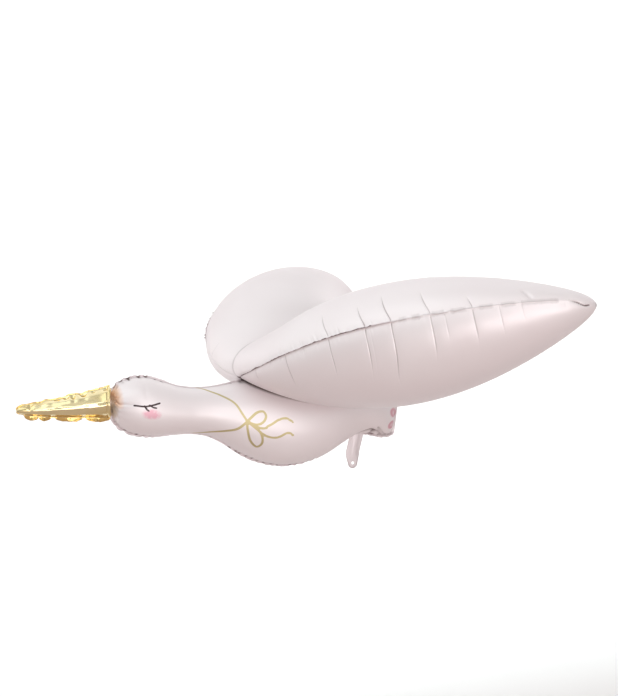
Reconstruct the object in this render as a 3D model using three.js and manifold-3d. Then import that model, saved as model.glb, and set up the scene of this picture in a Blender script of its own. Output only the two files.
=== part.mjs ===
// Foil stork balloon: three inflated foil balloons flown as one figure.
// Millimetres, +Z up, head towards -X, the bird's left side towards -Y.
// The origin is the centre of the ribbon hole in the inflation tail, which the balloon is hung or tied by.
import * as THREE from 'three';
import { mergeVertices } from 'three/addons/utils/BufferGeometryUtils.js';
import Module from 'manifold-3d';

const wasm = await Module();
wasm.setup();

// Welded seam: two sheets of foil, pressed flat outside the inflated form.
const SEAM_WIDTH = 6;
const SEAM_THICKNESS = 2;
// Gap between balloons where they press on each other.
const CLEARANCE = 0.8;

// Body balloon, in the upright middle plane: [bottom x, bottom z, top x, top z, half thickness].
const HEAD_FRONT_X = -762;
const BODY_STATIONS = [
  [HEAD_FRONT_X, 196, HEAD_FRONT_X, 251, 28],
  [-757, 172, -757, 259, 44],
  [-744, 157, -746, 273, 55],
  [-722, 143, -724, 284, 65],
  [-692, 131, -694, 291, 73],
  [-655, 125, -658, 289, 75],
  [-615, 124, -615, 276, 73],
  [-570, 125, -570, 261, 69],
  [-525, 124, -525, 253, 66],
  [-478, 115, -478, 252, 68],
  [-432, 94, -438, 255, 76],
  [-390, 67, -398, 261, 86],
  [-340, 40, -350, 267, 96],
  [-285, 21, -290, 272, 104],
  [-225, 13, -225, 271, 108],
  [-165, 18, -160, 267, 106],
  [-105, 35, -95, 260, 99],
  [-55, 61, -40, 250, 88],
  [-8, 84, 10, 239, 76],
  [36, 89, 50, 228, 65],
  [72, 82, 84, 218, 53],
  [98, 77, 109, 208, 39],
  [118, 78, 129, 200, 23],
  [130, 82, 144, 194, 4],
];
const BODY_SIDES = 24;
const BODY_STEPS = 42;

// Beak balloon, gold foil: the same five values at each station, base first.
const BEAK_BASE_X = HEAD_FRONT_X - CLEARANCE;
const BEAK_STATIONS = [
  [BEAK_BASE_X, 194, BEAK_BASE_X, 253, 28],
  [-765, 185, -765, 261, 37],
  [-771, 183, -771, 264, 41],
  [-800, 185, -800, 259, 39],
  [-860, 189, -860, 251, 34],
  [-930, 194, -930, 242, 27],
  [-985, 200, -985, 234, 19],
  [-1014, 205, -1014, 229, 13],
  [-1026, 208, -1026, 225, 9],
  [-1031, 212, -1031, 220, 4],
];
const BEAK_SIDES = 16;
const BEAK_STEPS = 18;
const BEAK_SEAM_START_X = -765;
const BEAK_SEAM_TOP = 4;
const BEAK_SEAM_BOTTOM = 12;

// Inflation tail: the flat strip at the belly that the balloon is filled through, with its ribbon hole.
const TAIL_TOP_Z = 112;
const TAIL_SHOULDER_Z = 34;
const TAIL_SHOULDER_LEFT = -23;
const TAIL_SHOULDER_RIGHT = 23;
const TAIL_ROOT_LEFT = -4;
const TAIL_ROOT_RIGHT = 42;
const TAIL_END_RADIUS = 16;
const HOLE_RADIUS = 5;

// Wing balloon: two lobes joined at a thick waist that lies across the back.
const WING_ROOT = new THREE.Vector3(-383, 0, 275);
const WING_LENGTH = 1051;
const WING_SWEEP = THREE.MathUtils.degToRad(46);
const WING_RISE = THREE.MathUtils.degToRad(12.6);
const WING_PITCH = THREE.MathUtils.degToRad(17.5);
// Leaf curves: amplitude, power at the root, power at the tip, and how far the widest place leans.
const LEADING = { size: 538, root: 0.775, tip: 0.45, lean: -0.764 };
const TRAILING = { size: 204, root: 1, tip: 0.5, lean: -0.134 };
const FULLNESS = { size: 411, root: 0.867, tip: 0.528, lean: -1.104 };
const NOTCH = new THREE.Vector3(388, 0, -22);
const WAIST_ABOVE = 126;
const WAIST_BELOW = 14;
const WAIST_FADE = 4.24;
// The leading seam sags by this much at one part in eight of the length, and less either side.
const SEAM_DIP = 18.6;
const SEAM_DIP_FADE = 7;
const CLEFT_DEPTH = 16;
const CLEFT_FADE = 14;
const FRONT_BULGE = 80;
const FRONT_BULGE_FADE = 16;
const UPRIGHT_UNTIL = 0.3;
const WAIST_OVERLAP = 1;
const WING_SIDES = 24;
const WING_STEPS = 28;
const TIP_CUT = 0.0004;
const SEAM_INSET = 22;
const SIDE_REACH = 2000;

const FOIL = { color: 0xe9dcdd, roughness: 0.35, metalness: 0.35 };
const GOLD_FOIL = { color: 0xd9bd62, roughness: 0.25, metalness: 0.9 };

/** A manifold solid from a closed geometry. */
function toSolid(geometry) {
  const bare = geometry.clone();
  bare.deleteAttribute('normal');
  bare.deleteAttribute('uv');
  const merged = mergeVertices(bare, 1e-3);
  return new wasm.Manifold(new wasm.Mesh({
    numProp: 3,
    vertProperties: new Float32Array(merged.attributes.position.array),
    triVerts: new Uint32Array(merged.index.array),
  }));
}

/** A geometry from a manifold solid. */
function toGeometry(solid) {
  const mesh = solid.getMesh();
  const geometry = new THREE.BufferGeometry();
  geometry.setAttribute('position', new THREE.BufferAttribute(new Float32Array(mesh.vertProperties), 3));
  geometry.setIndex(new THREE.BufferAttribute(new Uint32Array(mesh.triVerts), 1));
  geometry.computeVertexNormals();
  return geometry;
}

/**
 * Wraps a cylinder's grid onto surface(u, angle), with u from 0 to 1 along it.
 * The middle of each end cap goes to the mean of two opposite points of its rim.
 */
function inflate(surface, sides, steps, turned = false) {
  const geometry = new THREE.CylinderGeometry(1, 1, 1, sides, steps);
  const position = geometry.attributes.position;
  for (let i = 0; i < position.count; i++) {
    const u = THREE.MathUtils.clamp(position.getY(i) + 0.5, 0, 1);
    const x = position.getX(i);
    const z = position.getZ(i);
    const angle = Math.atan2(turned ? -z : z, x);
    const point = Math.hypot(x, z) > 0.5
      ? surface(u, angle)
      : surface(u, 0).add(surface(u, Math.PI)).multiplyScalar(0.5);
    position.setXYZ(i, point.x, point.y, point.z);
  }
  return toSolid(geometry);
}

/** The lower seam, the upper seam and the half thickness as smooth curves through the stations. */
function profile(stations) {
  const curve = (points) => new THREE.CatmullRomCurve3(points, false, 'catmullrom', 0.5);
  return {
    bottom: curve(stations.map(([x, z]) => new THREE.Vector3(x, 0, z))),
    top: curve(stations.map(([, , x, z]) => new THREE.Vector3(x, 0, z))),
    thickness: curve(stations.map(([, , , , t], i) => new THREE.Vector3(i, t, 0))),
  };
}

/** An inflated form in the upright middle plane, each section an ellipse between the two seams. */
function inflatedProfile({ bottom, top, thickness }, sides, steps) {
  const surface = (u, angle) => {
    const low = bottom.getPoint(u);
    const high = top.getPoint(u);
    const middle = low.clone().add(high).multiplyScalar(0.5);
    const half = high.clone().sub(low).multiplyScalar(0.5);
    const point = middle.addScaledVector(half, Math.sin(angle));
    point.y = Math.cos(angle) * thickness.getPoint(u).y;
    return point;
  };
  const forward = bottom.getPoint(1).x > bottom.getPoint(0).x;
  return inflate(surface, sides, steps, forward);
}

/** A flat plate in the upright middle plane. */
function plate(shape) {
  const geometry = new THREE.ExtrudeGeometry(shape, { depth: SEAM_THICKNESS, bevelEnabled: false });
  geometry.rotateX(Math.PI / 2);
  geometry.translate(0, SEAM_THICKNESS / 2, 0);
  return toSolid(geometry);
}

/** The two welded sheets: the form's outline moved outwards by the seam's width above and below. */
function seamPlate({ bottom, top }, steps, widthBelow, widthAbove, limit) {
  const lower = bottom.getPoints(steps);
  const upper = top.getPoints(steps).reverse();
  const outline = [...lower, ...upper];
  const way = lower[steps].x > lower[0].x ? 1 : -1;
  const points = outline.map((point, i) => {
    const before = outline[(i + outline.length - 1) % outline.length];
    const after = outline[(i + 1) % outline.length];
    const tangent = after.clone().sub(before).normalize();
    const width = i <= steps ? widthBelow : widthAbove;
    return limit(new THREE.Vector2(point.x + way * tangent.z * width, point.z - way * tangent.x * width));
  });
  return plate(new THREE.Shape(points));
}

/** The inflation tail: a strip with round shoulders and a round end about the ribbon hole. */
function inflationTail() {
  const shape = new THREE.Shape();
  shape.moveTo(TAIL_ROOT_RIGHT, TAIL_TOP_Z);
  shape.lineTo(TAIL_ROOT_LEFT, TAIL_TOP_Z);
  shape.lineTo(TAIL_SHOULDER_LEFT, TAIL_SHOULDER_Z);
  shape.quadraticCurveTo(TAIL_SHOULDER_LEFT, TAIL_SHOULDER_Z / 2, -TAIL_END_RADIUS, 0);
  shape.absarc(0, 0, TAIL_END_RADIUS, Math.PI, 2 * Math.PI, false);
  shape.quadraticCurveTo(TAIL_SHOULDER_RIGHT - 2, TAIL_SHOULDER_Z / 2, TAIL_SHOULDER_RIGHT, TAIL_SHOULDER_Z);
  const hole = new THREE.Path();
  hole.absarc(0, 0, HOLE_RADIUS, 0, 2 * Math.PI, true);
  shape.holes.push(hole);
  return plate(shape);
}

/** A leaf curve: 0 at the root and the tip, widest between them. */
function leaf({ size, root, tip, lean }, u) {
  return size * u ** root * (1 - u) ** tip * (1 + lean * (u - 0.5));
}

/** A hump from 0 up to 1 at u = 1 / (fade + 1) and back to 0 at u = 1. */
function hump(u, fade) {
  return (fade + 1) * u * ((1 - u) * (fade + 1) / fade) ** fade;
}

/** The frame of one wing: side is -1 for the bird's left wing and 1 for its right one. */
function wingFrame(side) {
  const axis = new THREE.Vector3(
    Math.cos(WING_SWEEP) * Math.cos(WING_RISE),
    side * Math.sin(WING_SWEEP) * Math.cos(WING_RISE),
    Math.sin(WING_RISE),
  );
  const back = new THREE.Vector3(Math.sin(WING_SWEEP), -side * Math.cos(WING_SWEEP), 0);
  const up = axis.clone().cross(back).multiplyScalar(-side);
  const chord = back.clone().multiplyScalar(Math.cos(WING_PITCH)).addScaledVector(up, -Math.sin(WING_PITCH));
  const normal = up.multiplyScalar(Math.cos(WING_PITCH)).addScaledVector(back, Math.sin(WING_PITCH));
  return { axis, chord, normal };
}

/** The two seams of one wing and the way its thickness stands, at u from the waist to the tip. */
function wingSection(side, u) {
  const { axis, chord, normal } = wingFrame(side);
  const spine = WING_ROOT.clone().addScaledVector(axis, u * WING_LENGTH);
  const leading = spine.clone().addScaledVector(chord, -leaf(LEADING, u));
  leading.z -= SEAM_DIP * hump(u, SEAM_DIP_FADE);
  leading.x += CLEFT_DEPTH * (1 - u) ** CLEFT_FADE;
  const trailing = spine.clone().addScaledVector(chord, leaf(TRAILING, u));
  trailing.addScaledVector(NOTCH, 1 - u);
  const half = trailing.clone().sub(leading).multiplyScalar(0.5);
  const along = half.clone().normalize();
  const blend = THREE.MathUtils.smoothstep(u, 0, UPRIGHT_UNTIL);
  const up = new THREE.Vector3(0, 0, 1).lerp(normal, blend);
  up.addScaledVector(along, -up.dot(along)).normalize();
  return { middle: leading.clone().add(half), half, along, up };
}

/** The place along a wing for v from 0 to 1, with close steps at the waist and at the tip. */
function spread(v) {
  return Math.min((1 - Math.cos(Math.PI * v)) / 2, 1 - TIP_CUT);
}

/** One inflated lobe, made larger by grow all round. */
function wingLobe(side, grow) {
  const surface = (v, angle) => {
    const u = spread(v);
    const { middle, half, along, up } = wingSection(side, u);
    const above = Math.sin(angle) > 0;
    const waist = (above ? WAIST_ABOVE : WAIST_BELOW) * (1 - u) ** WAIST_FADE;
    const point = middle.addScaledVector(half, Math.cos(angle)).addScaledVector(along, grow * Math.cos(angle));
    point.addScaledVector(up, (leaf(FULLNESS, u) + waist + grow) * Math.sin(angle));
    const front = above ? (1 - Math.cos(angle)) / 2 * Math.sin(angle) ** 2 : 0;
    point.x -= FRONT_BULGE * (1 - u) ** FRONT_BULGE_FADE * front;
    point.y -= v === 0 ? side * 2 * WAIST_OVERLAP : 0;
    return point;
  };
  return inflate(surface, WING_SIDES, WING_STEPS, side < 0);
}

/** The welded seam along one edge of a lobe: edge is -1 for the leading edge and 1 for the trailing edge. */
function wingSeam(side, edge, grow) {
  const surface = (v, angle) => {
    const u = spread(v);
    const { middle, half, along, up } = wingSection(side, u);
    const outer = Math.cos(angle + Math.PI / 4) > 0;
    const above = Math.sin(angle + Math.PI / 4) > 0 ? 1 : -1;
    const inset = Math.min(SEAM_INSET, half.length());
    const point = middle.addScaledVector(half, edge);
    point.addScaledVector(along, edge * (outer ? SEAM_WIDTH + grow : -inset));
    point.addScaledVector(up, above * (SEAM_THICKNESS / 2 + grow));
    point.y -= v === 0 ? side * 2 * WAIST_OVERLAP : 0;
    return point;
  };
  return inflate(surface, 4, WING_STEPS, side * edge < 0);
}

/** One side of the bird, as a large box that ends just past the middle plane. */
function ownSide(side) {
  const box = new THREE.BoxGeometry(2 * SIDE_REACH, 2 * SIDE_REACH, 2 * SIDE_REACH);
  box.translate(0, side * (SIDE_REACH - WAIST_OVERLAP), 0);
  return toSolid(box);
}

/** The wing balloon, or with grow the space that it takes among its neighbours. */
function wings(grow = 0) {
  return [-1, 1]
    .map((side) => wingLobe(side, grow)
      .add(wingSeam(side, -1, grow))
      .add(wingSeam(side, 1, grow))
      .intersect(ownSide(side)))
    .reduce((whole, lobe) => whole.add(lobe));
}

/** The body balloon, dented where the wing balloon lies on its back. */
function body() {
  const curves = profile(BODY_STATIONS);
  const behindHead = (point) => new THREE.Vector2(Math.max(point.x, HEAD_FRONT_X + CLEARANCE), point.y);
  return inflatedProfile(curves, BODY_SIDES, BODY_STEPS)
    .add(seamPlate(curves, BODY_STEPS, SEAM_WIDTH, SEAM_WIDTH, behindHead))
    .add(inflationTail())
    .subtract(wings(CLEARANCE));
}

/** The beak balloon. */
function beak() {
  const curves = profile(BEAK_STATIONS);
  const beforeHead = (point) => new THREE.Vector2(Math.min(point.x, BEAK_SEAM_START_X), point.y);
  return inflatedProfile(curves, BEAK_SIDES, BEAK_STEPS)
    .add(seamPlate(curves, BEAK_STEPS, BEAK_SEAM_BOTTOM, BEAK_SEAM_TOP, beforeHead));
}

/** A named mesh with its own material. */
function piece(name, solid, look) {
  const mesh = new THREE.Mesh(toGeometry(solid), new THREE.MeshStandardMaterial(look));
  mesh.name = name;
  return mesh;
}

const balloon = new THREE.Group();
balloon.name = 'foil_stork_balloon';
balloon.add(
  piece('body_balloon', body(), FOIL),
  piece('beak_balloon', beak(), GOLD_FOIL),
  piece('wing_balloon', wings(), FOIL),
);

export default balloon;
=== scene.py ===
"""A foil stork balloon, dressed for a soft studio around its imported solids.

Three inflated foil balloons make one bird: a printed body, a gold beak and a pair of wings. Each is worked
out here as one closed skin of foil, from the same sizes as its solid, with the welded margin, its gathers and
its creases. Sizes are millimetres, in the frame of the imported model: origin at the ribbon hole, head towards
-X, +Z up. The studio's own sizes are metres.
"""

from __future__ import annotations

import logging
import math
from dataclasses import dataclass, field, replace
from enum import Enum

import bpy
import numpy as np
from mathutils import Matrix, Vector

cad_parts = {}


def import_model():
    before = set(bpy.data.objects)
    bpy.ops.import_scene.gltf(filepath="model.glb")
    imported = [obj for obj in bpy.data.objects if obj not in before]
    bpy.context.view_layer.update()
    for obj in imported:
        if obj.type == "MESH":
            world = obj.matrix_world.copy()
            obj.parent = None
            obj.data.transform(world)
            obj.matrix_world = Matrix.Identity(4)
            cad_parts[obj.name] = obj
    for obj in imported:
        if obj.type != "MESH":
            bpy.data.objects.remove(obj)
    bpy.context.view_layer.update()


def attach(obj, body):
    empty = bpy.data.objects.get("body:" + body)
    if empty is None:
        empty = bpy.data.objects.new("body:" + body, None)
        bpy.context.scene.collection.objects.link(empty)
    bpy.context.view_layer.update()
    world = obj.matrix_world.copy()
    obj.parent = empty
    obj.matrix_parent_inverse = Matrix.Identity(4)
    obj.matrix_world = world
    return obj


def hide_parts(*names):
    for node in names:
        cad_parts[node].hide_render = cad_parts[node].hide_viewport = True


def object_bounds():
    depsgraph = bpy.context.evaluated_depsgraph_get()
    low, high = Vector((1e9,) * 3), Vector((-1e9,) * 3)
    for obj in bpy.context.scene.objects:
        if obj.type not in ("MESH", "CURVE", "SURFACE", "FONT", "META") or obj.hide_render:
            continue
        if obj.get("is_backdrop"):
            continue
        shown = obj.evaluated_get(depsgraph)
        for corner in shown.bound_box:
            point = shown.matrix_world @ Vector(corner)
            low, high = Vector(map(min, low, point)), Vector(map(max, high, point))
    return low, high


MM = 0.001
LOG = logging.getLogger("stork_balloon")

# One side of the foil's welded margin, two films pressed flat.
WELD_WIDTH = 6.0
WELD_HALF_THICKNESS = 0.45
# Room left between balloons that press on each other.
CONTACT_GAP = 0.9
# How far outside a printed line its distance is still told apart.
PRINT_REACH = 30.0
# Added to a distance from a weld, so that its sign tells the film also on the weld itself.
OFF_THE_WELD = 0.01
# Stands for no surface above, and for no place before the first.
FAR_UP = 900.0
FAR_BEFORE = -1e3


class Side(Enum):
    """The bird's own left and right, as the sign of Y."""

    LEFT = -1
    RIGHT = 1


def linear(colour: str) -> tuple[float, float, float, float]:
    """Turns an sRGB colour such as "F4E8E6" into the linear values that a shader takes.

    Args:
        colour: Six hex digits.

    Returns:
        Red, green, blue and an alpha of 1.
    """
    parts = [int(colour[i : i + 2], 16) / 255 for i in (0, 2, 4)]
    return (*[p / 12.92 if p <= 0.04045 else ((p + 0.055) / 1.055) ** 2.4 for p in parts], 1.0)


def smoothstep(low: float, high: float, x: np.ndarray) -> np.ndarray:
    """0 below low, 1 above high and 3t^2 - 2t^3 between them; it falls where low is the larger one."""
    t = np.clip((x - low) / (high - low), 0, 1)
    return t * t * (3 - 2 * t)


def through(points: np.ndarray, u: np.ndarray) -> np.ndarray:
    """A Catmull-Rom curve through points: each piece is the cubic whose end slopes are half the chord between
    the neighbours.

    Args:
        points: The stations, one row each.
        u: Places along the curve, 0 at the first station and 1 at the last.

    Returns:
        One row for each place.
    """
    before, after = 2 * points[0] - points[1], 2 * points[-1] - points[-2]
    row = np.vstack([before, points, after])
    place = np.clip(u, 0, 1) * (len(points) - 1)
    i = np.minimum(place.astype(int), len(points) - 2)
    t = (place - i)[..., None]
    start, end = row[i + 1], row[i + 2]
    leaving, arriving = (end - row[i]) / 2, (row[i + 3] - start) / 2
    square = 3 * (end - start) - 2 * leaving - arriving
    cube = 2 * (start - end) + leaving + arriving
    return start + t * (leaving + t * (square + t * cube))


def run_length(points: np.ndarray, axis: int = 0) -> np.ndarray:
    """The length from the first point to each point, summed along an axis of a grid of points."""
    steps = np.linalg.norm(np.diff(points, axis=axis), axis=-1)
    total = np.cumsum(steps, axis=axis)
    return np.concatenate([np.zeros_like(np.take(total, [0], axis=axis)), total], axis=axis)


def close_steps(length: float, count: int, marks: np.ndarray, reach: float, gain: float) -> np.ndarray:
    """Places from 0 to length that crowd together round some marks.

    The density is 1 plus gain times a bell of the given reach at each mark. Its running sum is inverted at
    even steps.

    Args:
        length: The last place.
        count: How many places.
        marks: Where the places crowd.
        reach: Half width of each crowd.
        gain: How much denser the middle of a crowd is.

    Returns:
        The places, in order.
    """
    fine = np.linspace(0, length, 6000)
    bells = np.exp(-(((fine[:, None] - marks) / reach) ** 2)).max(axis=1) if len(marks) else 0 * fine
    density = 1 + gain * bells
    total = np.concatenate([[0], np.cumsum((density[1:] + density[:-1]) / 2)])
    return np.interp(np.linspace(0, total[-1], count), total, fine)


def ridged(x: np.ndarray, y: np.ndarray, seed: int) -> np.ndarray:
    """Crumpled relief from -1 to 1: random heights on a unit grid, joined by slopes and folded half way up.

    Args:
        x: First coordinate, in cells.
        y: Second coordinate, in cells.
        seed: Picks the random heights.

    Returns:
        1 on the sharp ridges and -1 in the hollows.
    """
    table = np.random.default_rng(seed).random((64, 64))
    xi, yi = np.floor(x).astype(int), np.floor(y).astype(int)
    fx, fy = x - xi, y - yi
    corner = [[table[(xi + a) % 64, (yi + b) % 64] for b in (0, 1)] for a in (0, 1)]
    low = corner[0][0] * (1 - fy) + corner[0][1] * fy
    high = corner[1][0] * (1 - fy) + corner[1][1] * fy
    return 1 - 2 * np.abs(2 * (low * (1 - fx) + high * fx) - 1)


def soft_noise(x: np.ndarray, seed: int) -> np.ndarray:
    """Smooth random values from -1 to 1 along a line, one random height at each whole number."""
    table = np.random.default_rng(seed).uniform(-1, 1, 4096)
    i = np.floor(x).astype(int)
    t = smoothstep(0, 1, x - i)
    return table[i % 4096] * (1 - t) + table[(i + 1) % 4096] * t


@dataclass
class Skin:
    """A closed surface: its points, its four-sided and three-sided faces, and named values at its points."""

    points: np.ndarray
    quads: np.ndarray
    triangles: np.ndarray
    values: dict[str, np.ndarray] = field(default_factory=dict)

    def outward(self) -> Skin:
        """Turns every face round if the volume that they enclose comes out negative."""
        a, b, c = (self.points[self.quads[:, k]] for k in (0, 1, 2))
        d = self.points[self.quads[:, 3]]
        volume = np.einsum("ij,ij->", a, np.cross(b, c) + np.cross(c, d))
        if volume > 0:
            return self
        return replace(self, quads=self.quads[:, ::-1], triangles=self.triangles[:, ::-1])

    def joined(self, other: Skin) -> Skin:
        """This skin and another one as a single skin; a value that one of them lacks is 0 there."""
        shift = len(self.points)
        names = {**self.values, **other.values}
        values = {
            name: np.concatenate(
                [self.values.get(name, np.zeros(shift)), other.values.get(name, np.zeros(len(other.points)))]
            )
            for name in names
        }
        return Skin(
            np.concatenate([self.points, other.points]),
            np.concatenate([self.quads, other.quads + shift]),
            np.concatenate([self.triangles, other.triangles + shift]),
            values,
        )

    def to_object(self, name: str) -> bpy.types.Object:
        """Makes a smooth-shaded mesh object at the origin, in metres, with the values as float attributes.

        Args:
            name: The object's and the mesh's name.

        Returns:
            The object, linked to the scene.
        """
        mesh = bpy.data.meshes.new(name)
        mesh.from_pydata((self.points * MM).tolist(), [], self.quads.tolist() + self.triangles.tolist())
        mesh.polygons.foreach_set("use_smooth", np.ones(len(mesh.polygons), dtype=bool))
        for label, value in self.values.items():
            mesh.attributes.new(label, "FLOAT", "POINT").data.foreach_set("value", value.astype(np.float32))
        mesh.update()
        made = bpy.data.objects.new(name, mesh)
        bpy.context.scene.collection.objects.link(made)
        return made


def ring_quads(index: np.ndarray) -> np.ndarray:
    """Four-sided faces between neighbouring rings of point numbers, each ring closed on itself."""
    following = np.roll(index, -1, axis=1)
    return np.stack([index[:-1], index[1:], following[1:], following[:-1]], axis=-1).reshape(-1, 4)


def tube(grid: np.ndarray, values: dict[str, np.ndarray]) -> Skin:
    """Closes a grid of rings: quads between the rings, and a fan to the middle of the first and last ring.

    Args:
        grid: Points, ring by ring.
        values: Values on the same grid.

    Returns:
        The skin, with its faces outwards.
    """
    rings, around = grid.shape[:2]
    index = np.arange(rings * around).reshape(rings, around)
    first, last = index[0], index[-1]
    poles = rings * around + np.arange(2)
    fans = [
        np.stack([first, np.roll(first, -1), np.full(around, poles[0])], axis=-1),
        np.stack([np.roll(last, -1), last, np.full(around, poles[1])], axis=-1),
    ]
    middles = np.stack([grid[0].mean(axis=0), grid[-1].mean(axis=0)])
    at_points = {k: np.concatenate([v.ravel(), [v[0].mean(), v[-1].mean()]]) for k, v in values.items()}
    points = np.concatenate([grid.reshape(-1, 3), middles])
    return Skin(points, ring_quads(index), np.concatenate(fans), at_points).outward()


def unit_normals(points: np.ndarray) -> np.ndarray:
    """Unit normals of a grid of points: the cross product of its steps along and across."""
    normal = np.cross(np.gradient(points, axis=0), np.gradient(points, axis=1))
    return normal / np.maximum(np.linalg.norm(normal, axis=-1, keepdims=True), 1e-9)


def sunk_at_welds(nearest: np.ndarray, run: float) -> np.ndarray:
    """0 on a weld and 1 farther off than run, along a quarter sine: the relief leaves the welds in place."""
    return np.sin(np.clip(nearest / run, 0, 1) * np.pi / 2)


def fin(
    line: np.ndarray,
    out: np.ndarray,
    aside: np.ndarray,
    width: np.ndarray,
    wave: np.ndarray,
    rows: int,
    power: float,
) -> list[np.ndarray]:
    """The two faces of a welded margin: line + width s out + (wave s^power + or - half the thickness) aside.

    Args:
        line: The weld.
        out: The way that the margin stands out from it, at each point.
        aside: The way across the margin, at each point or once for all.
        width: The margin's width at each point.
        wave: How far its free edge swings aside.
        rows: Points from the weld to the free edge; s is the share of the width at each.
        power: How late the swing starts.

    Returns:
        The face on the side of aside and the one behind it, each ring by ring.
    """
    faces = []
    for face in (1, -1):
        strips = [
            line
            + out * (width * share)[:, None]
            + aside * (wave * share**power + face * WELD_HALF_THICKNESS)[:, None]
            for share in np.linspace(0, 1, rows + 1)[1:]
        ]
        faces.append(np.stack(strips, axis=1))
    return faces


@dataclass(frozen=True)
class Crease:
    """One long crease that crosses a weld.

    Attributes:
        at: Its place along the weld.
        above: How far it runs on the upper film, or on the left film of an upright weld.
        below: How far it runs on the other film.
        depth: How deep it is.
    """

    at: float
    above: float
    below: float
    depth: float


@dataclass(frozen=True)
class Gathers:
    """Small puckers that a weld draws into both films, at random distances.

    Attributes:
        seed: Picks the random places and sizes.
        pitch: Mean distance from one to the next.
        depth: Mean depth.
        reach: Mean length away from the weld.
        width: Half width of one.
        first: Places of the first ones, where they are known.
    """

    seed: int
    pitch: float
    depth: float
    reach: float
    width: float
    first: tuple[float, ...] = ()

    def places(self, length: float) -> np.ndarray:
        """Where the puckers are along a weld: the known ones, then one at about every pitch."""
        count = int(length / self.pitch) + 1
        shifts = np.random.default_rng(self.seed).uniform(-0.3, 0.3, count)
        random = (np.arange(count) + shifts) * self.pitch
        clear = max(self.first, default=FAR_BEFORE) + 0.7 * self.pitch
        return np.concatenate([self.first, random[random > clear]])

    def pull(self, along: np.ndarray) -> np.ndarray:
        """How hard the puckers pull at the weld itself, from 0 to 1, as a bell round each one's place."""
        places = self.places(along.max())
        force = np.random.default_rng(self.seed + 900).uniform(0, 1.1, len(places)) ** 1.4
        force[: len(self.first)] = 1
        bells = np.exp(-(((along[:, None] - places) / (1.2 * self.width)) ** 2))
        return np.clip((force * bells).max(axis=1), 0, 1)

    def relief(self, along: np.ndarray, across: np.ndarray, strength: np.ndarray) -> np.ndarray:
        """Inward depth: for each pucker a bell across it, that fades away from the weld to the power 1.5.

        Args:
            along: Distance along the weld at each point of a grid.
            across: Signed distance from the weld; the two films' puckers are different.
            strength: Factor on the depth at each point.

        Returns:
            The depth at each point.
        """
        draw = np.random.default_rng(self.seed + 500)
        total = np.zeros_like(along)
        for place in self.places(along.max()):
            depth = self.depth * draw.uniform(0.35, 1.6)
            reaches = self.reach * draw.uniform(0.4, 1.7, 2)
            lean = draw.uniform(-0.14, 0.14)
            width = self.width * draw.uniform(0.7, 1.3)
            near = np.abs(along[:, 0] - place) < 5 * width + 12
            off = along[near] - place - lean * np.abs(across[near])
            reach = np.where(across[near] < 0, reaches[0], reaches[1])
            fade = np.clip(1 - np.abs(across[near]) / reach, 0, 1) ** 1.5
            total[near] += depth * fade * np.exp(-((off / width) ** 2))
        return total * strength


def crease_relief(
    creases: tuple[Crease, ...], along: np.ndarray, across: np.ndarray, width: float
) -> tuple[np.ndarray, np.ndarray]:
    """Inward depth of long creases: a narrow bell in a broad shallow one, both fading towards the ends.

    Args:
        creases: The creases.
        along: Distance along the weld at each point of a grid.
        across: Signed distance from the weld, negative on the upper film.
        width: Half width of a crease.

    Returns:
        The depth of the creases themselves and of the hollows that they lie in.
    """
    sharp, broad = np.zeros_like(along), np.zeros_like(along)
    for crease in creases:
        off = (along - crease.at) / width
        reach = np.where(across < 0, max(crease.above, 1), max(crease.below, 1))
        fade = smoothstep(1.0, 0.45, np.abs(across) / reach)
        sharp += 0.66 * crease.depth * fade * np.exp(-(off**2))
        broad += 0.42 * crease.depth * fade * np.exp(-((off / 8) ** 2))
    return sharp, broad


@dataclass(frozen=True)
class UprightForm:
    """A balloon welded in the upright middle plane, with elliptical sections.

    Attributes:
        stations: Lower weld x and z, upper weld x and z, and half thickness at each station.
        weld_above: Width of the welded margin on the upper edge.
        weld_below: Width of the welded margin on the lower edge.
        weld_rows: Points across each face of a margin.
    """

    stations: np.ndarray
    weld_above: float = WELD_WIDTH
    weld_below: float = WELD_WIDTH
    weld_rows: int = 3

    def middle_and_half(self, u: np.ndarray) -> tuple[np.ndarray, np.ndarray, np.ndarray]:
        """The middle of each section, half its height as a vector, and half its thickness."""
        row = through(self.stations, u)
        flat = np.zeros(len(row))
        low = np.stack([row[:, 0], flat, row[:, 1]], axis=-1)
        high = np.stack([row[:, 2], flat, row[:, 3]], axis=-1)
        return (low + high) / 2, (high - low) / 2, row[:, 4]

    def shell(self, u: np.ndarray, rows: int) -> tuple[np.ndarray, np.ndarray, np.ndarray]:
        """The right film without its margins: P = M + sin(a) H, with y = cos(a) T, from the lower weld up.

        M is the section's middle, H half its height and T half its thickness. The rows crowd at the welds.

        Args:
            u: Places along the balloon.
            rows: Points from weld to weld.

        Returns:
            The points, the height angle of each, and the length round to it from the middle of the film.
        """
        middle, half, thickness = self.middle_and_half(u)
        edge = np.arccos(np.minimum(WELD_HALF_THICKNESS / thickness, 0.9))
        even = np.linspace(-1, 1, rows)
        crowded = even * (1.28 - 0.28 * even**2)
        angle = edge[:, None] * crowded
        points = middle[:, None] + half[:, None] * np.sin(angle)[..., None]
        points[..., 1] = np.cos(angle) * thickness[:, None]
        girth = run_length(points, axis=1)
        return points, angle, girth - girth[:, rows // 2, None]

    def margin(self, u: np.ndarray, upper: bool) -> tuple[np.ndarray, np.ndarray]:
        """The weld's own line and the way that its margin stands out from it, both along u."""
        middle, half, _ = self.middle_and_half(u)
        line = middle + half if upper else middle - half
        tangent = np.gradient(line, axis=0)
        tangent /= np.maximum(np.linalg.norm(tangent, axis=-1, keepdims=True), 1e-9)
        out = np.stack([-tangent[:, 2], tangent[:, 1], tangent[:, 0]], axis=-1)
        out *= np.sign(np.sum(out * half, axis=-1, keepdims=True)) * (1 if upper else -1)
        return line, out


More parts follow.
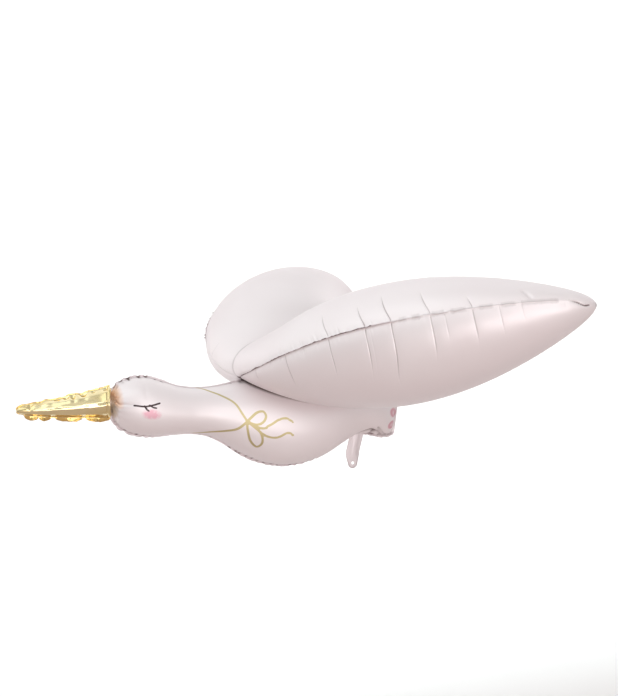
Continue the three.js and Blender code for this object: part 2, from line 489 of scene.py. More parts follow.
@dataclass(frozen=True)
class Mark:
    """A printed line on the side of the body.

    Attributes:
        points: Its points, as x and the length round the side from its middle.
        half_width: Half its width.
    """

    points: tuple[tuple[float, float], ...]
    half_width: float

    def distance(self, x: np.ndarray, girth: np.ndarray) -> np.ndarray:
        """Distance to the smooth line through the points, less the half width.

        The line is cut into short chords, and the nearest foot on any of them counts.
        """
        chords = np.array(self.points, dtype=float)
        if len(chords) > 2:
            chords = through(chords, np.linspace(0, 1, 8 * (len(chords) - 1) + 1))
        nearest = np.full(x.shape, 1e3)
        for start, end in zip(chords[:-1], chords[1:]):
            step = end - start
            share = ((x - start[0]) * step[0] + (girth - start[1]) * step[1]) / max(step @ step, 1e-6)
            share = np.clip(share, 0, 1)
            away = np.hypot(x - start[0] - share * step[0], girth - start[1] - share * step[1])
            nearest = np.minimum(nearest, away)
        return nearest - self.half_width


def printed(marks: tuple[Mark, ...], x: np.ndarray, girth: np.ndarray) -> np.ndarray:
    """How far each point lies inside the nearest of some marks: positive inside, at least -PRINT_REACH."""
    distance = np.min([mark.distance(x, girth) for mark in marks], axis=0)
    return np.maximum(-distance, -PRINT_REACH)


# The gold bow: the ribbon round the neck, two loops and two tails; the figures are half widths.
RIBBON = 3.4
BOW_LINES = (
    ((-508, 103), (-481, 75), (-455, 61), (-421, 43), (-403, 17), (-389, -3)),
    ((-544, -103), (-528, -87), (-485, -65), (-445, -48), (-415, -33), (-391, -7)),
    ((-389, -5), (-386, -28), (-374, -60), (-353, -78), (-340, -62), (-346, -35), (-366, -14), (-387, -4)),
    ((-388, -3), (-377, 10), (-360, 27), (-342, 33), (-334, 20), (-343, 2), (-362, -8), (-387, -5)),
    ((-387, -5), (-366, -14), (-346, -16), (-331, -13)),
    ((-331, -9), (-317, -1), (-298, 12), (-278, 18), (-266, 15), (-254, 8)),
    ((-387, -5), (-362, -20), (-342, -33), (-318, -41), (-295, -38), (-274, -26), (-262, -25), (-252, -31)),
)
BOW = tuple(Mark(line, RIBBON) for line in BOW_LINES)
LASH = 2.4
CLOSED_EYE = (
    Mark(((-720, 7), (-705, 6), (-689, 6), (-670, 10), (-647, 18)), LASH),
    Mark(((-677, 10), (-668, 5), (-658, 3)), LASH),
    Mark(((-692, 7), (-687, -1), (-680, -6)), LASH),
)


# Lower weld x and z, upper weld x and z, and half thickness, from the mouth to the tail's end.
BODY_STATIONS = np.array(
    [
        [-762, 196, -762, 251, 28],
        [-757, 172, -757, 259, 44],
        [-744, 157, -746, 273, 55],
        [-722, 143, -724, 284, 65],
        [-692, 131, -694, 291, 73],
        [-655, 125, -658, 289, 75],
        [-615, 124, -615, 276, 73],
        [-570, 125, -570, 261, 69],
        [-525, 124, -525, 253, 66],
        [-478, 115, -478, 252, 68],
        [-432, 94, -438, 255, 76],
        [-390, 67, -398, 261, 86],
        [-340, 40, -350, 267, 96],
        [-285, 21, -290, 272, 104],
        [-225, 13, -225, 271, 108],
        [-165, 18, -160, 267, 106],
        [-105, 35, -95, 260, 99],
        [-55, 61, -40, 250, 88],
        [-8, 84, 10, 239, 76],
        [36, 89, 50, 228, 65],
        [72, 82, 84, 218, 53],
        [98, 77, 109, 208, 39],
        [121, 77, 133, 200, 23],
        [134, 80, 149, 194, 4],
        [143, 82, 160, 195, 0.6],
    ],
    dtype=float,
)


@dataclass
class BodyBalloon:
    """The printed body: head, neck, breast and tail in one balloon, with the inflation tail at its belly."""

    form: UprightForm = field(default_factory=lambda: UprightForm(BODY_STATIONS))
    rings: int = 470
    rows: int = 85
    # How strongly each weld gathers, at some x: hard on the round head and tail, hardly along the neck.
    gather_x: tuple[float, ...] = (-762, -740, -690, -630, -590, -480, -400, -330, -240, -120, -20, 60, 144)
    gather_upper: tuple[float, ...] = (1.2, 1.3, 1.2, 0.7, 0.2, 0.1, 0.3, 0.6, 0.6, 0.6, 0.8, 1.2, 1.4)
    gather_lower: tuple[float, ...] = (1.2, 1.3, 1.0, 0.4, 0.15, 0.15, 0.25, 0.9, 1.3, 0.9, 0.7, 1.5, 1.6)
    upper_gathers: Gathers = Gathers(3, pitch=24, depth=5.0, reach=22, width=4.6, first=(20, 42, 64, 94, 115))
    lower_gathers: Gathers = Gathers(seed=8, pitch=21, depth=4.6, reach=22, width=4.4)
    fine_gathers: Gathers = Gathers(seed=17, pitch=9, depth=1.2, reach=18, width=2.4)
    # How much painted shade each weld's folds get: most on the head's crown and under the breast.
    fold_x: tuple[float, ...] = (-762, -650, -600, -470, -400, -150, -60, 100, 144)
    fold_upper: tuple[float, ...] = (1.6, 1.5, 0.2, 0.1, 0.2, 0.2, 0.2, 0.4, 0.4)
    fold_lower: tuple[float, ...] = (0.3, 0.2, 0.05, 0.7, 1.0, 1.1, 0.4, 0.4, 0.4)
    # Folds round the mouth, where the head's film is drawn in to the beak.
    mouth_folds: int = 9
    mouth_reach: float = 42
    mouth_depth: float = 3.4
    # The one crease from the mouth back towards the eye: its height on the side, rise and half width.
    mouth_crease: tuple[float, float, float] = (7, 0.06, 3.6)
    mouth_crease_depth: float = 4.5
    mouth_crease_reach: float = 62
    # Near a weld the relief sinks to nothing over this length.
    sink_run: float = 9
    # Printed ovals at the tail's edge: centre as for a print, half length, half width and turn.
    tail_ovals: tuple[tuple[tuple[float, float], float, float, float], ...] = (
        ((129, 9), 21, 15, 0.0),
        ((121, -28), 20, 12, 0.5),
    )
    cheek_centre: tuple[float, float] = (-671, -15)
    cheek_size: tuple[float, float] = (24, 13)
    # Free folds in the film: a line as for a print, and how deep it is pressed.
    folds: tuple[tuple[Mark, float], ...] = (
        (Mark(((-2, -88), (18, -76), (40, -64), (54, -66)), 0), 5.5),
        (Mark(((50, -76), (66, -66), (84, -76)), 0), 5.5),
        (Mark(((66, -50), (84, -60), (104, -68), (124, -66)), 0), 5.0),
        (Mark(((88, -84), (108, -80)), 0), 4.5),
        (Mark(((-677, 106), (-680, 70), (-684, 34)), 0), 0.8),
    )
    fold_width: float = 6.2

    def place_rings(self) -> np.ndarray:
        """Places of the rings along the body, closer together where the print and the gathers are fine."""
        fine = np.linspace(0, 1, 3000)
        x = through(self.form.stations, fine)[:, 2]
        crowds = np.array([-740, -690, -340, 60, 120]) - x[0]
        even = close_steps(x[-1] - x[0], self.rings, crowds, reach=60, gain=0.7)
        return np.interp(even, x - x[0], fine)

    def film(self, u: np.ndarray, side: Side) -> tuple[np.ndarray, dict[str, np.ndarray]]:
        """One film from weld to weld, pressed in by its gathers and folds, with its print, painted shade and
        painted reflection.

        Args:
            u: Places of the rings.
            side: Which film.

        Returns:
            The points and the values on them.
        """
        points, angle, girth = self.form.shell(u, self.rows)
        x = points[..., 0].copy()
        back = x - self.form.stations[0, 0]
        lower = girth - girth[:, :1]
        upper = girth[:, -1:] - girth
        relief = np.zeros_like(x)
        for line, distance, gathers, strengths in (
            (0, lower, self.lower_gathers, self.gather_lower),
            (-1, upper, self.upper_gathers, self.gather_upper),
        ):
            along = np.repeat(run_length(points[:, line])[:, None], self.rows, axis=1)
            strength = np.interp(x, self.gather_x, strengths)
            signed = side.value * (distance + OFF_THE_WELD)
            relief += gathers.relief(along, signed, strength)
            relief += self.fine_gathers.relief(along, signed, strength)
        folded = sum(
            depth * np.exp(-((line.distance(x, girth) / self.fold_width) ** 2)) for line, depth in self.folds
        )
        relief += folded
        relief += self.mouth_relief(side, back, angle, girth)
        sink = sunk_at_welds(np.minimum(lower, upper), self.sink_run)
        points = points - self.film_normals(points) * (relief * sink)[..., None]
        values = {
            "bow": printed(BOW, x, girth),
            "eye": printed(CLOSED_EYE, x, girth),
            "cheek": self.cheek(x, girth),
            "tail_mark": self.tail_mark(x, girth),
            # Painted shade, deepest in the gathers and folds, lighter near the mouth and at the tail's end.
            "crease": np.clip((relief - 0.3 * folded) / 5, 0, 1)
            * (1 - 0.75 * smoothstep(50, 20, back))
            * (1 - 0.5 * smoothstep(40, 90, x)),
            # Where the gold's reflection is painted at the mouth, and the film there is more metallic and
            # smoother.
            "mouth": 0.35 * smoothstep(24, 4, back) * smoothstep(-14, 8, girth),
            "margin": np.maximum(smoothstep(4, 0, np.minimum(lower, upper)), 0.5 * smoothstep(140, 146, x)),
        }
        points[..., 1] *= side.value
        return points, values

    def mouth_relief(self, side: Side, back: np.ndarray, angle: np.ndarray, girth: np.ndarray) -> np.ndarray:
        """The folds that run back from the mouth: bells across them, fading with a power of the distance.

        Args:
            side: Which film.
            back: Distance of each point behind the mouth.
            angle: Its height angle.
            girth: The length round to it from the film's middle.

        Returns:
            The inward depth at each point.
        """
        draw = np.random.default_rng(21 + side.value)
        front = np.clip(1 - back / self.mouth_reach, 0, 1)
        relief = np.zeros_like(back)
        for fold in range(self.mouth_folds):
            at = -1.35 + 2.7 * (fold + draw.uniform(-0.25, 0.25)) / (self.mouth_folds - 1)
            off = (angle - at) / (0.1 * draw.uniform(0.8, 1.6))
            relief += self.mouth_depth * draw.uniform(0.4, 1.4) * front**1.3 * np.exp(-(off**2))
        height, rise, half_width = self.mouth_crease
        crease = np.exp(-(((girth - height - rise * back) / half_width) ** 2))
        return relief + self.mouth_crease_depth * crease * np.clip(1 - back / self.mouth_crease_reach, 0, 1)

    @staticmethod
    def film_normals(points: np.ndarray) -> np.ndarray:
        """Unit normals of the right film, towards +Y."""
        normal = unit_normals(points)
        return normal * np.sign(np.sum(normal[..., 1]))

    def cheek(self, x: np.ndarray, girth: np.ndarray) -> np.ndarray:
        """The blush: 1 in the middle of an oval, down to 0 a third outside its rim."""
        across = (x - self.cheek_centre[0]) / self.cheek_size[0]
        up = (girth - self.cheek_centre[1]) / self.cheek_size[1]
        return np.clip(1.35 - np.hypot(across, up), 0, 1)

    def tail_mark(self, x: np.ndarray, girth: np.ndarray) -> np.ndarray:
        """The printed ovals at the tail's edge: each 1 along its ring and 0.55 in its middle."""
        total = np.zeros_like(x)
        for centre, long, short, turn in self.tail_ovals:
            dx, dz = x - centre[0], girth - centre[1]
            a = (dx * math.cos(turn) + dz * math.sin(turn)) / long
            b = (dz * math.cos(turn) - dx * math.sin(turn)) / short
            radius = np.hypot(a, b)
            ring = 0.55 + 0.45 * smoothstep(0.15, 0.6, radius)
            total = np.maximum(total, smoothstep(1.1, 0.8, radius) * ring)
        return total

    def margins(self, u: np.ndarray, upper: bool) -> np.ndarray:
        """The welded margin as rows of points, out from the weld on the right face and back in on the left.

        It waves to either side, more at its free edge, and it is drawn in where a pucker pulls.

        Args:
            u: Places of the rings.
            upper: Whether this is the upper margin.

        Returns:
            The points, ring by ring.
        """
        line, out = self.form.margin(u, upper)
        along = run_length(line)
        strength = np.interp(line[:, 0], self.gather_x, self.gather_upper if upper else self.gather_lower)
        seed = 40 if upper else 50
        short, long = soft_noise(along / 5.5, seed), soft_noise(along / 12, seed + 1)
        wave = (0.2 + strength) * (1.6 * short + 2.4 * long)
        pull = (self.upper_gathers if upper else self.lower_gathers).pull(along)
        width = (self.form.weld_above if upper else self.form.weld_below) * (
            1 - np.clip(strength, 0, 1) * (0.5 * pull + 0.15 * soft_noise(along / 7, seed + 2))
        )
        width *= smoothstep(0, 8, along[-1] - along) * (0.3 + 0.7 * np.clip(2 * strength, 0, 1))
        right, left = fin(line, out, np.array([0, 1, 0]), width, wave, self.form.weld_rows, 1.5)
        return np.concatenate([right, left[:, ::-1]], axis=1)

    def fold_shade(self, u: np.ndarray, upper: bool) -> np.ndarray:
        """How much painted shade each ring's margin gets where it is folded away from the light, from 0 to 1.
        """
        line, _ = self.form.margin(u, upper)
        pull = (self.upper_gathers if upper else self.lower_gathers).pull(run_length(line))
        return pull * np.interp(line[:, 0], self.fold_x, self.fold_upper if upper else self.fold_lower)

    def skin(self, press: Pressing) -> Skin:
        """The whole body: right film, upper margin, left film and lower margin round each ring.

        Args:
            press: What lies on the body's back.

        Returns:
            The closed skin.
        """
        u = self.place_rings()
        right, right_values = self.film(u, Side.RIGHT)
        left, left_values = self.film(u, Side.LEFT)
        above, below = self.margins(u, True), self.margins(u, False)
        grid = np.concatenate([right, above, left[:, ::-1], below[:, ::-1]], axis=1)
        on_margins = {"margin": 1.0, "bow": -PRINT_REACH, "eye": -PRINT_REACH}
        values = {}
        for name, value in right_values.items():
            rims = [np.full(fins.shape[:2], on_margins.get(name, 0.0)) for fins in (above, below)]
            # The margins' folds get painted shade.
            if name == "crease":
                both = zip(rims, (True, False))
                rims = [rim + self.fold_shade(u, upper)[:, None] for rim, upper in both]
            values[name] = np.concatenate([value, rims[0], left_values[name][:, ::-1], rims[1]], axis=1)
        grid = press.under(grid)
        # Painted shade where the body lies under the wings.
        values["crease"] = np.maximum(values["crease"], press.contact_shade(grid))
        return tube(grid, values)


@dataclass(frozen=True)
class InflationTail:
    """The flat filling strip under the belly, with round shoulders, a round end and a hole at the origin."""

    top: float = 112
    shoulder: float = 34
    shoulder_reach: float = 23
    root_left: float = -4
    root_right: float = 42
    end_radius: float = 16
    hole_radius: float = 5
    spokes: int = 168
    rings: int = 26
    half_thickness: float = 0.5
    # The filling channel up the middle: its top's x, half width and how far it lifts the film.
    channel_x: float = 19
    channel_half_width: float = 11
    channel_lift: float = 0.6

    @staticmethod
    def bend(start: tuple[float, float], middle: tuple[float, float], end: tuple[float, float]) -> np.ndarray:
        """A quadratic curve from start to end that leaves and arrives on lines through the middle point."""
        t = np.linspace(0, 1, 20)[:, None]
        return (1 - t) ** 2 * np.array(start) + 2 * t * (1 - t) * np.array(middle) + t**2 * np.array(end)

    def outline(self) -> np.ndarray:
        """The strip's edge: its two sides as lines and quadratic curves into the round end."""
        reach, shoulder = self.shoulder_reach, self.shoulder
        down = self.bend((-reach, shoulder), (-reach, shoulder / 2), (-self.end_radius, 0))
        turn = np.linspace(math.pi, 2 * math.pi, 40)
        end = self.end_radius * np.stack([np.cos(turn), np.sin(turn)], axis=-1)
        up = self.bend((self.end_radius, 0), (reach - 2, shoulder / 2), (reach, shoulder))
        corners = np.array([[self.root_right, self.top], [self.root_left, self.top], [-reach, shoulder]])
        return np.concatenate([corners, down, end, up, corners[:1]])

    def skin(self) -> Skin:
        """Two faces and two rims as a closed ring of rings, on spokes from the hole's rim to the outline.

        The faces part a little over the filling channel, between two pressed lines. The strip curls a bit.

        Returns:
            The closed skin, with a hole through it.
        """
        edge = self.outline()
        length = run_length(edge)
        even = np.linspace(0, length[-1], self.spokes, endpoint=False)
        rim = np.stack([np.interp(even, length, edge[:, k]) for k in (0, 1)], axis=-1)
        turn = np.arctan2(rim[:, 1], rim[:, 0])
        hole = self.hole_radius * np.stack([np.cos(turn), np.sin(turn)], axis=-1)
        share = np.linspace(0, 1, self.rings)[:, None, None]
        flat = hole + (rim - hole) * share
        x, z = flat[..., 0], flat[..., 1]
        channel = np.abs(x - self.channel_x * np.clip(z / self.top, 0, 1))
        lift = self.channel_lift * smoothstep(self.channel_half_width, 3, channel) * smoothstep(16, 34, z)
        lift -= 0.1 * np.exp(-(((channel - self.channel_half_width) / 1.6) ** 2)) * smoothstep(12, 30, z)
        rounded = np.minimum(1, (1 - share[..., 0]) * 9 + 0.25)
        half = self.half_thickness * rounded + lift
        crumple = soft_noise(x / 9 + 3 * soft_noise(z / 30, 5), 6)
        curl = 1.2 * np.sin(z / 19 + 0.7) * (z / self.top) + 0.7 * crumple
        curl *= smoothstep(6, 30, np.hypot(x, z))
        front = np.stack([x, curl - half, z], axis=-1)
        back = np.stack([x, curl + half, z], axis=-1)
        loop = np.concatenate([front, back[::-1]], axis=0).transpose(1, 0, 2)
        index = np.arange(loop.shape[0] * loop.shape[1]).reshape(loop.shape[:2])
        index = np.concatenate([index, index[:1]], axis=0)
        from_edge = np.linalg.norm(rim - flat, axis=-1)
        # Flat film is greyer than blown film, its welded edges greyer still; the crease value paints shade on
        # it, more near its edges.
        looks = {
            "margin": 0.5 + 0.5 * smoothstep(6.5, 2.5, from_edge),
            "crease": 0.24 + 0.2 * smoothstep(5, 1, from_edge),
            "bow": np.full_like(from_edge, -PRINT_REACH),
            "eye": np.full_like(from_edge, -PRINT_REACH),
        }
        values = {name: np.concatenate([look, look[::-1]], axis=0).T.ravel() for name, look in looks.items()}
        return Skin(loop.reshape(-1, 3), ring_quads(index), np.empty((0, 3), dtype=int), values).outward()


@dataclass(frozen=True)
class Leaf:
    """A leaf curve: 0 at the root and the tip, widest between them."""

    size: float
    root: float
    tip: float
    lean: float

    def at(self, u: np.ndarray) -> np.ndarray:
        """size times u^root times (1 - u)^tip, tilted by the lean."""
        return self.size * u**self.root * (1 - u) ** self.tip * (1 + self.lean * (u - 0.5))


# The wings' long creases: place along the leading weld, run on the upper and on the lower film, and depth.
WING_CREASES = {
    Side.LEFT: (
        (153, 0, 48, 1.8),
        (278, 62, 0, 0.9),
        (291, 10, 125, 2.5),
        (318, 52, 26, 0.9),
        (352, 38, 30, 1.0),
        (396, 30, 16, 0.8),
        (442, 112, 138, 2.7),
        (478, 36, 0, 0.8),
        (552, 98, 155, 2.8),
        (566, 0, 150, 0.8),
        (625, 122, 210, 3.2),
        (731, 96, 140, 2.7),
        (769, 5, 82, 1.2),
        (842, 44, 108, 2.5),
        (911, 10, 92, 1.4),
        (970, 8, 60, 1.2),
        (1085, 0, 26, 1.0),
        (1148, 4, 30, 1.2),
    ),
    Side.RIGHT: (
        (176, 84, 10, 1.8),
        (318, 40, 96, 3.0),
        (408, 18, 120, 3.2),
        (497, 90, 84, 3.4),
        (602, 60, 170, 3.8),
        (688, 84, 128, 3.4),
        (806, 30, 110, 2.8),
        (905, 22, 80, 2.0),
    ),
}


@dataclass
class WingBalloon:
    """Both wings in one balloon: two long lobes that share a waist across the bird's back."""

    root: tuple[float, float, float] = (-383, 0, 275)
    length: float = 1051
    sweep: float = math.radians(46)
    rise: float = math.radians(12.6)
    pitch: float = math.radians(17.5)
    leading: Leaf = Leaf(538, 0.775, 0.45, -0.764)
    trailing: Leaf = Leaf(204, 1, 0.5, -0.134)
    fullness: Leaf = Leaf(411, 0.867, 0.528, -1.104)
    notch: tuple[float, float, float] = (388, 0, -22)
    waist_above: float = 126
    waist_below: float = 14
    waist_fade: float = 4.24
    seam_dip: float = 18.6
    seam_dip_fade: float = 7
    cleft_depth: float = 16
    cleft_fade: float = 14
    front_bulge: float = 84
    front_bulge_fade: float = 16
    upright_until: float = 0.3
    # Above 1, the upper film leaves its welds flatter than an ellipse would. The left wing gets round again
    # farther out.
    crown_power: float = 1.2
    crown_until: dict[Side, tuple[float, float]] = field(
        default_factory=lambda: {Side.LEFT: (0.62, 0.42), Side.RIGHT: (2.0, 1.0)}
    )
    # The lower film is a little fuller than the upper one's ellipse.
    lower_fullness: float = 1.04
    tip_cut: float = 0.0004
    rings: int = 360
    rows: int = 59
    weld_rows: int = 3
    creases: dict[Side, tuple[Crease, ...]] = field(
        default_factory=lambda: {
            side: tuple(Crease(*row) for row in rows) for side, rows in WING_CREASES.items()
        }
    )
    crease_width: float = 1.5
    # Free folds, as lines of length along the leading weld and distance below it, with depth and half width:
    # a dimple above the left weld, and the tuck of the film towards each tip.
    folds: dict[Side, tuple[tuple[Mark, float, float], ...]] = field(
        default_factory=lambda: {
            Side.LEFT: (
                (Mark(((988, -36), (996, -14)), 0), 4.5, 5.5),
                (Mark(((1098, -1), (1122, 6), (1142, 15), (1160, 12)), 0), 3.6, 2.4),
            ),
            Side.RIGHT: ((Mark(((1085, 2), (1110, 9), (1132, 12), (1158, 8)), 0), 3.5, 3.0),),
        }
    )
    # The left leading margin gets painted shade from the waist to some 600 mm along, the right one only in
    # tucks.
    painted_weld_shade: dict[Side, tuple[float, float]] = field(
        default_factory=lambda: {Side.LEFT: (40, 600), Side.RIGHT: (290, 580)}
    )
    # The right leading margin lies flat on the film near the waist.
    flat_weld: dict[Side, tuple[float, float]] = field(
        default_factory=lambda: {Side.LEFT: (0, 14), Side.RIGHT: (230, 320)}
    )
    # Farther out the left leading weld gets painted shade only in soft dashes.
    dashes: dict[Side, tuple[tuple[float, float], ...]] = field(
        default_factory=lambda: {
            Side.LEFT: ((650, 664), (686, 702), (738, 764), (788, 822), (862, 892), (920, 952), (974, 1066)),
            Side.RIGHT: (),
        }
    )
    dash_strength: float = 0.3
    dash_fade: float = 9
    # Past these lengths the leading margin is drawn in, and its welded sheen ends.
    fin_end: tuple[float, float] = (590, 680)
    sheen_end: tuple[float, float] = (600, 680)
    # A fold of this half width or less gets painted shade in its bottom.
    narrow_fold: float = 2.4
    # Near a weld the relief sinks to nothing over this length.
    sink_run: float = 7
    tucks: Gathers = Gathers(seed=19, pitch=15, depth=2.5, reach=12, width=3)
    leading_gathers: dict[Side, Gathers] = field(
        default_factory=lambda: {
            side: Gathers(seed, pitch=15, depth=1.7, reach=26, width=3.8)
            for side, seed in ((Side.LEFT, 11), (Side.RIGHT, 12))
        }
    )
    trailing_gathers: Gathers = Gathers(seed=15, pitch=19, depth=2.2, reach=30, width=5)

    def seams(self, side: Side, u: np.ndarray) -> tuple[np.ndarray, np.ndarray, np.ndarray]:
        """The two welds of one wing, from the waist to the tip, and the way its thickness stands far out.

        Each weld is the spine moved along the chord by its leaf curve. The leading one sags near the waist
        and starts in a cleft, the trailing one starts at the notch behind the waist.

        Args:
            side: Which wing.
            u: Places along the wing, 0 at the waist and 1 at the tip.

        Returns:
            Points of the leading and of the trailing weld, and the unit way up.
        """
        cos_s, sin_s = math.cos(self.sweep), math.sin(self.sweep)
        cos_r, sin_r = math.cos(self.rise), math.sin(self.rise)
        cos_p, sin_p = math.cos(self.pitch), math.sin(self.pitch)
        axis = np.array([cos_s * cos_r, side.value * sin_s * cos_r, sin_r])
        back = np.array([sin_s, -side.value * cos_s, 0])
        up = -side.value * np.cross(axis, back)
        chord = back * cos_p - up * sin_p
        normal = up * cos_p + back * sin_p
        u = u[..., None]
        spine = np.array(self.root) + u * self.length * axis
        fade = self.seam_dip_fade
        dip = self.seam_dip * (fade + 1) * u * ((1 - u) * (fade + 1) / fade) ** fade
        cleft = self.cleft_depth * (1 - u) ** self.cleft_fade
        leading = spine - self.leading.at(u) * chord + np.concatenate([cleft, 0 * u, -dip], axis=-1)
        trailing = spine + self.trailing.at(u) * chord + np.array(self.notch) * (1 - u)
        return leading, trailing, normal

    def lobe(self, side: Side, u: np.ndarray, angle: np.ndarray) -> tuple[np.ndarray, np.ndarray, np.ndarray]:
        """The inflated lobe: M + cos(a) H + sin(a)^k F N, from the trailing weld over the top to the leading.

        M is the middle of the section, H half its chord, F its fullness and N its own up.

        Args:
            side: Which wing.
            u: Place along the wing of each point.
            angle: Angle round the section of each point.

        Returns:
            The points, the unit way from the leading to the trailing weld, and each section's own up.
        """
        leading, trailing, normal = self.seams(side, u)
        half = (trailing - leading) / 2
        along = half / np.maximum(np.linalg.norm(half, axis=-1, keepdims=True), 1e-9)
        blend = smoothstep(0, self.upright_until, u)[..., None]
        up = np.array([0, 0, 1]) * (1 - blend) + normal * blend
        up = up - np.sum(up * along, axis=-1, keepdims=True) * along
        up /= np.linalg.norm(up, axis=-1, keepdims=True)
        above = np.sin(angle) > 0
        waist = np.where(above, self.waist_above, self.waist_below) * (1 - u) ** self.waist_fade
        power = 1 + (self.crown_power - 1) * smoothstep(*self.crown_until[side], u)
        rounded = np.sign(np.sin(angle)) * np.abs(np.sin(angle)) ** np.where(above, power, 1.0)
        lift = (self.fullness.at(u) * np.where(above, 1, self.lower_fullness) + waist) * rounded
        points = (leading + trailing) / 2 + half * np.cos(angle)[..., None] + up * lift[..., None]
        front = np.where(above, (1 - np.cos(angle)) / 2 * np.abs(np.sin(angle)) ** 0.7, 0)
        points[..., 0] -= self.front_bulge * (1 - u) ** self.front_bulge_fade * front
        return points, along, up

    def grid(self, side: Side) -> tuple[np.ndarray, dict[str, np.ndarray]]:
        """One wing's rings: upper film, leading margin, lower film and trailing margin.

        The rings bow towards the waist away from the leading weld, as the film's creases do.

        Args:
            side: Which wing.

        Returns:
            The points and the values on them; the first ring lies in the middle plane.
        """
        fine = (1 - np.cos(np.pi * np.linspace(0, 1, 1500))) / 2
        fine = np.minimum(fine, 1 - self.tip_cut)
        seam_run = run_length(self.seams(side, fine)[0])
        marks = np.array([c.at for c in self.creases[side]])
        places = close_steps(seam_run[-1], self.rings, marks, reach=9, gain=3.2)
        u = np.interp(places, seam_run, fine)
        half_rows = np.linspace(0, 1, self.rows)
        crowded = (half_rows - 0.115 * np.sin(2 * np.pi * half_rows) / np.pi) * np.pi
        films = []
        for start in (0, np.pi):
            angle = start + crowded[None, :] + 0 * u[:, None]
            first, _, _ = self.lobe(side, np.repeat(u[:, None], self.rows, axis=1), angle)
            girth = run_length(first, axis=1)
            across = girth[:, -1:] - girth if start == 0 else girth
            bow = self.ring_bow(across, start == 0) * smoothstep(1, 0.45, np.abs(angle / np.pi - 1))
            fade = smoothstep(30, 260, places) * smoothstep(seam_run[-1], seam_run[-1] - 260, places)
            moved = np.interp(places[:, None] - bow * fade[:, None], seam_run, fine)
            films.append((moved, angle, across, girth))
        along = np.repeat(places[:, None], self.rows, axis=1)
        to_tip = seam_run[-1] - along
        seam_fade = smoothstep(20, 90, along) * (1.15 - 0.75 * smoothstep(300, 1000, along))
        behind = smoothstep(40, 160, along) * smoothstep(0, 60, to_tip)
        closing = smoothstep(0, 30, along) * smoothstep(0, 24, to_tip)
        sheen = closing * smoothstep(*self.flat_weld[side], along) * (1 - smoothstep(*self.sheen_end, along))
        skins, creases = [], []
        for (moved, angle, across, girth), above in zip(films, (True, False)):
            points, _, _ = self.lobe(side, moved, angle)
            film = -1 if above else 1
            signed = film * (across + OFF_THE_WELD)
            far = girth if above else girth[:, -1:] - girth
            from_weld = np.minimum(across, far)
            relief = self.leading_gathers[side].relief(along, signed, seam_fade)
            sharp, broad = crease_relief(self.creases[side], along, signed, self.crease_width)
            # Painted shade in the gathers and creases.
            crease_shade = 0.1 * relief + 0.3 * sharp
            for line, depth, width in self.folds[side]:
                dent = depth * np.exp(-((line.distance(along, signed) / width) ** 2))
                # The bottom of a narrow fold is hidden from the light and gets painted shade, that of a wide
                # one doesn't.
                crease_shade += 0.3 * dent * min(1, (self.narrow_fold / width) ** 2)
                sharp += dent
            relief += sharp
            relief += self.trailing_gathers.relief(along, film * (far + OFF_THE_WELD), behind)
            sink = sunk_at_welds(from_weld, self.sink_run) * closing
            normal = unit_normals(points)
            middle = points.mean(axis=1, keepdims=True)
            normal *= np.sign(np.sum(normal * (points - middle), axis=(-1, -2), keepdims=True))
            skins.append(points - normal * ((relief + broad) * sink)[..., None])
            # Painted shade on the upper film in the waist's valley.
            waist_shade = 0.34 * smoothstep(12, 2, along) if above else 0.0
            # Painted shade in dashes near the leading weld.
            weld_dash_shade = self.dash_shade(side, along) * smoothstep(13, 2, across)
            film_shade = np.clip(crease_shade * sink, 0, 1) + waist_shade + weld_dash_shade
            creases.append((film_shade, smoothstep(5, 0, from_weld) * sheen))
        return self.with_margins(side, u, places, skins, creases)

    @staticmethod
    def ring_bow(across: np.ndarray, above: bool) -> np.ndarray:
        """How far a ring bows towards the waist, by distance from the leading weld.

        On the upper film it starts as 0.44 of the distance and levels off. On the lower film it starts with
        the power 2.5 of the distance.
        """
        if above:
            return 0.44 * across * (1 - np.exp(-across / 14)) / (1 + (across / 400) ** 2)
        return 0.00017 * across**2.5 / (1 + (across / 230) ** 5)

    def dash_shade(self, side: Side, along: np.ndarray) -> np.ndarray:
        """Faint dashes of painted shade along the outer part of the leading weld, each fading at its ends."""
        total = np.zeros_like(along)
        fade = self.dash_fade
        for start, end in self.dashes[side]:
            dash = smoothstep(start - fade, start, along) * smoothstep(end + fade, end, along)
            total = np.maximum(total, self.dash_strength * dash)
        return total

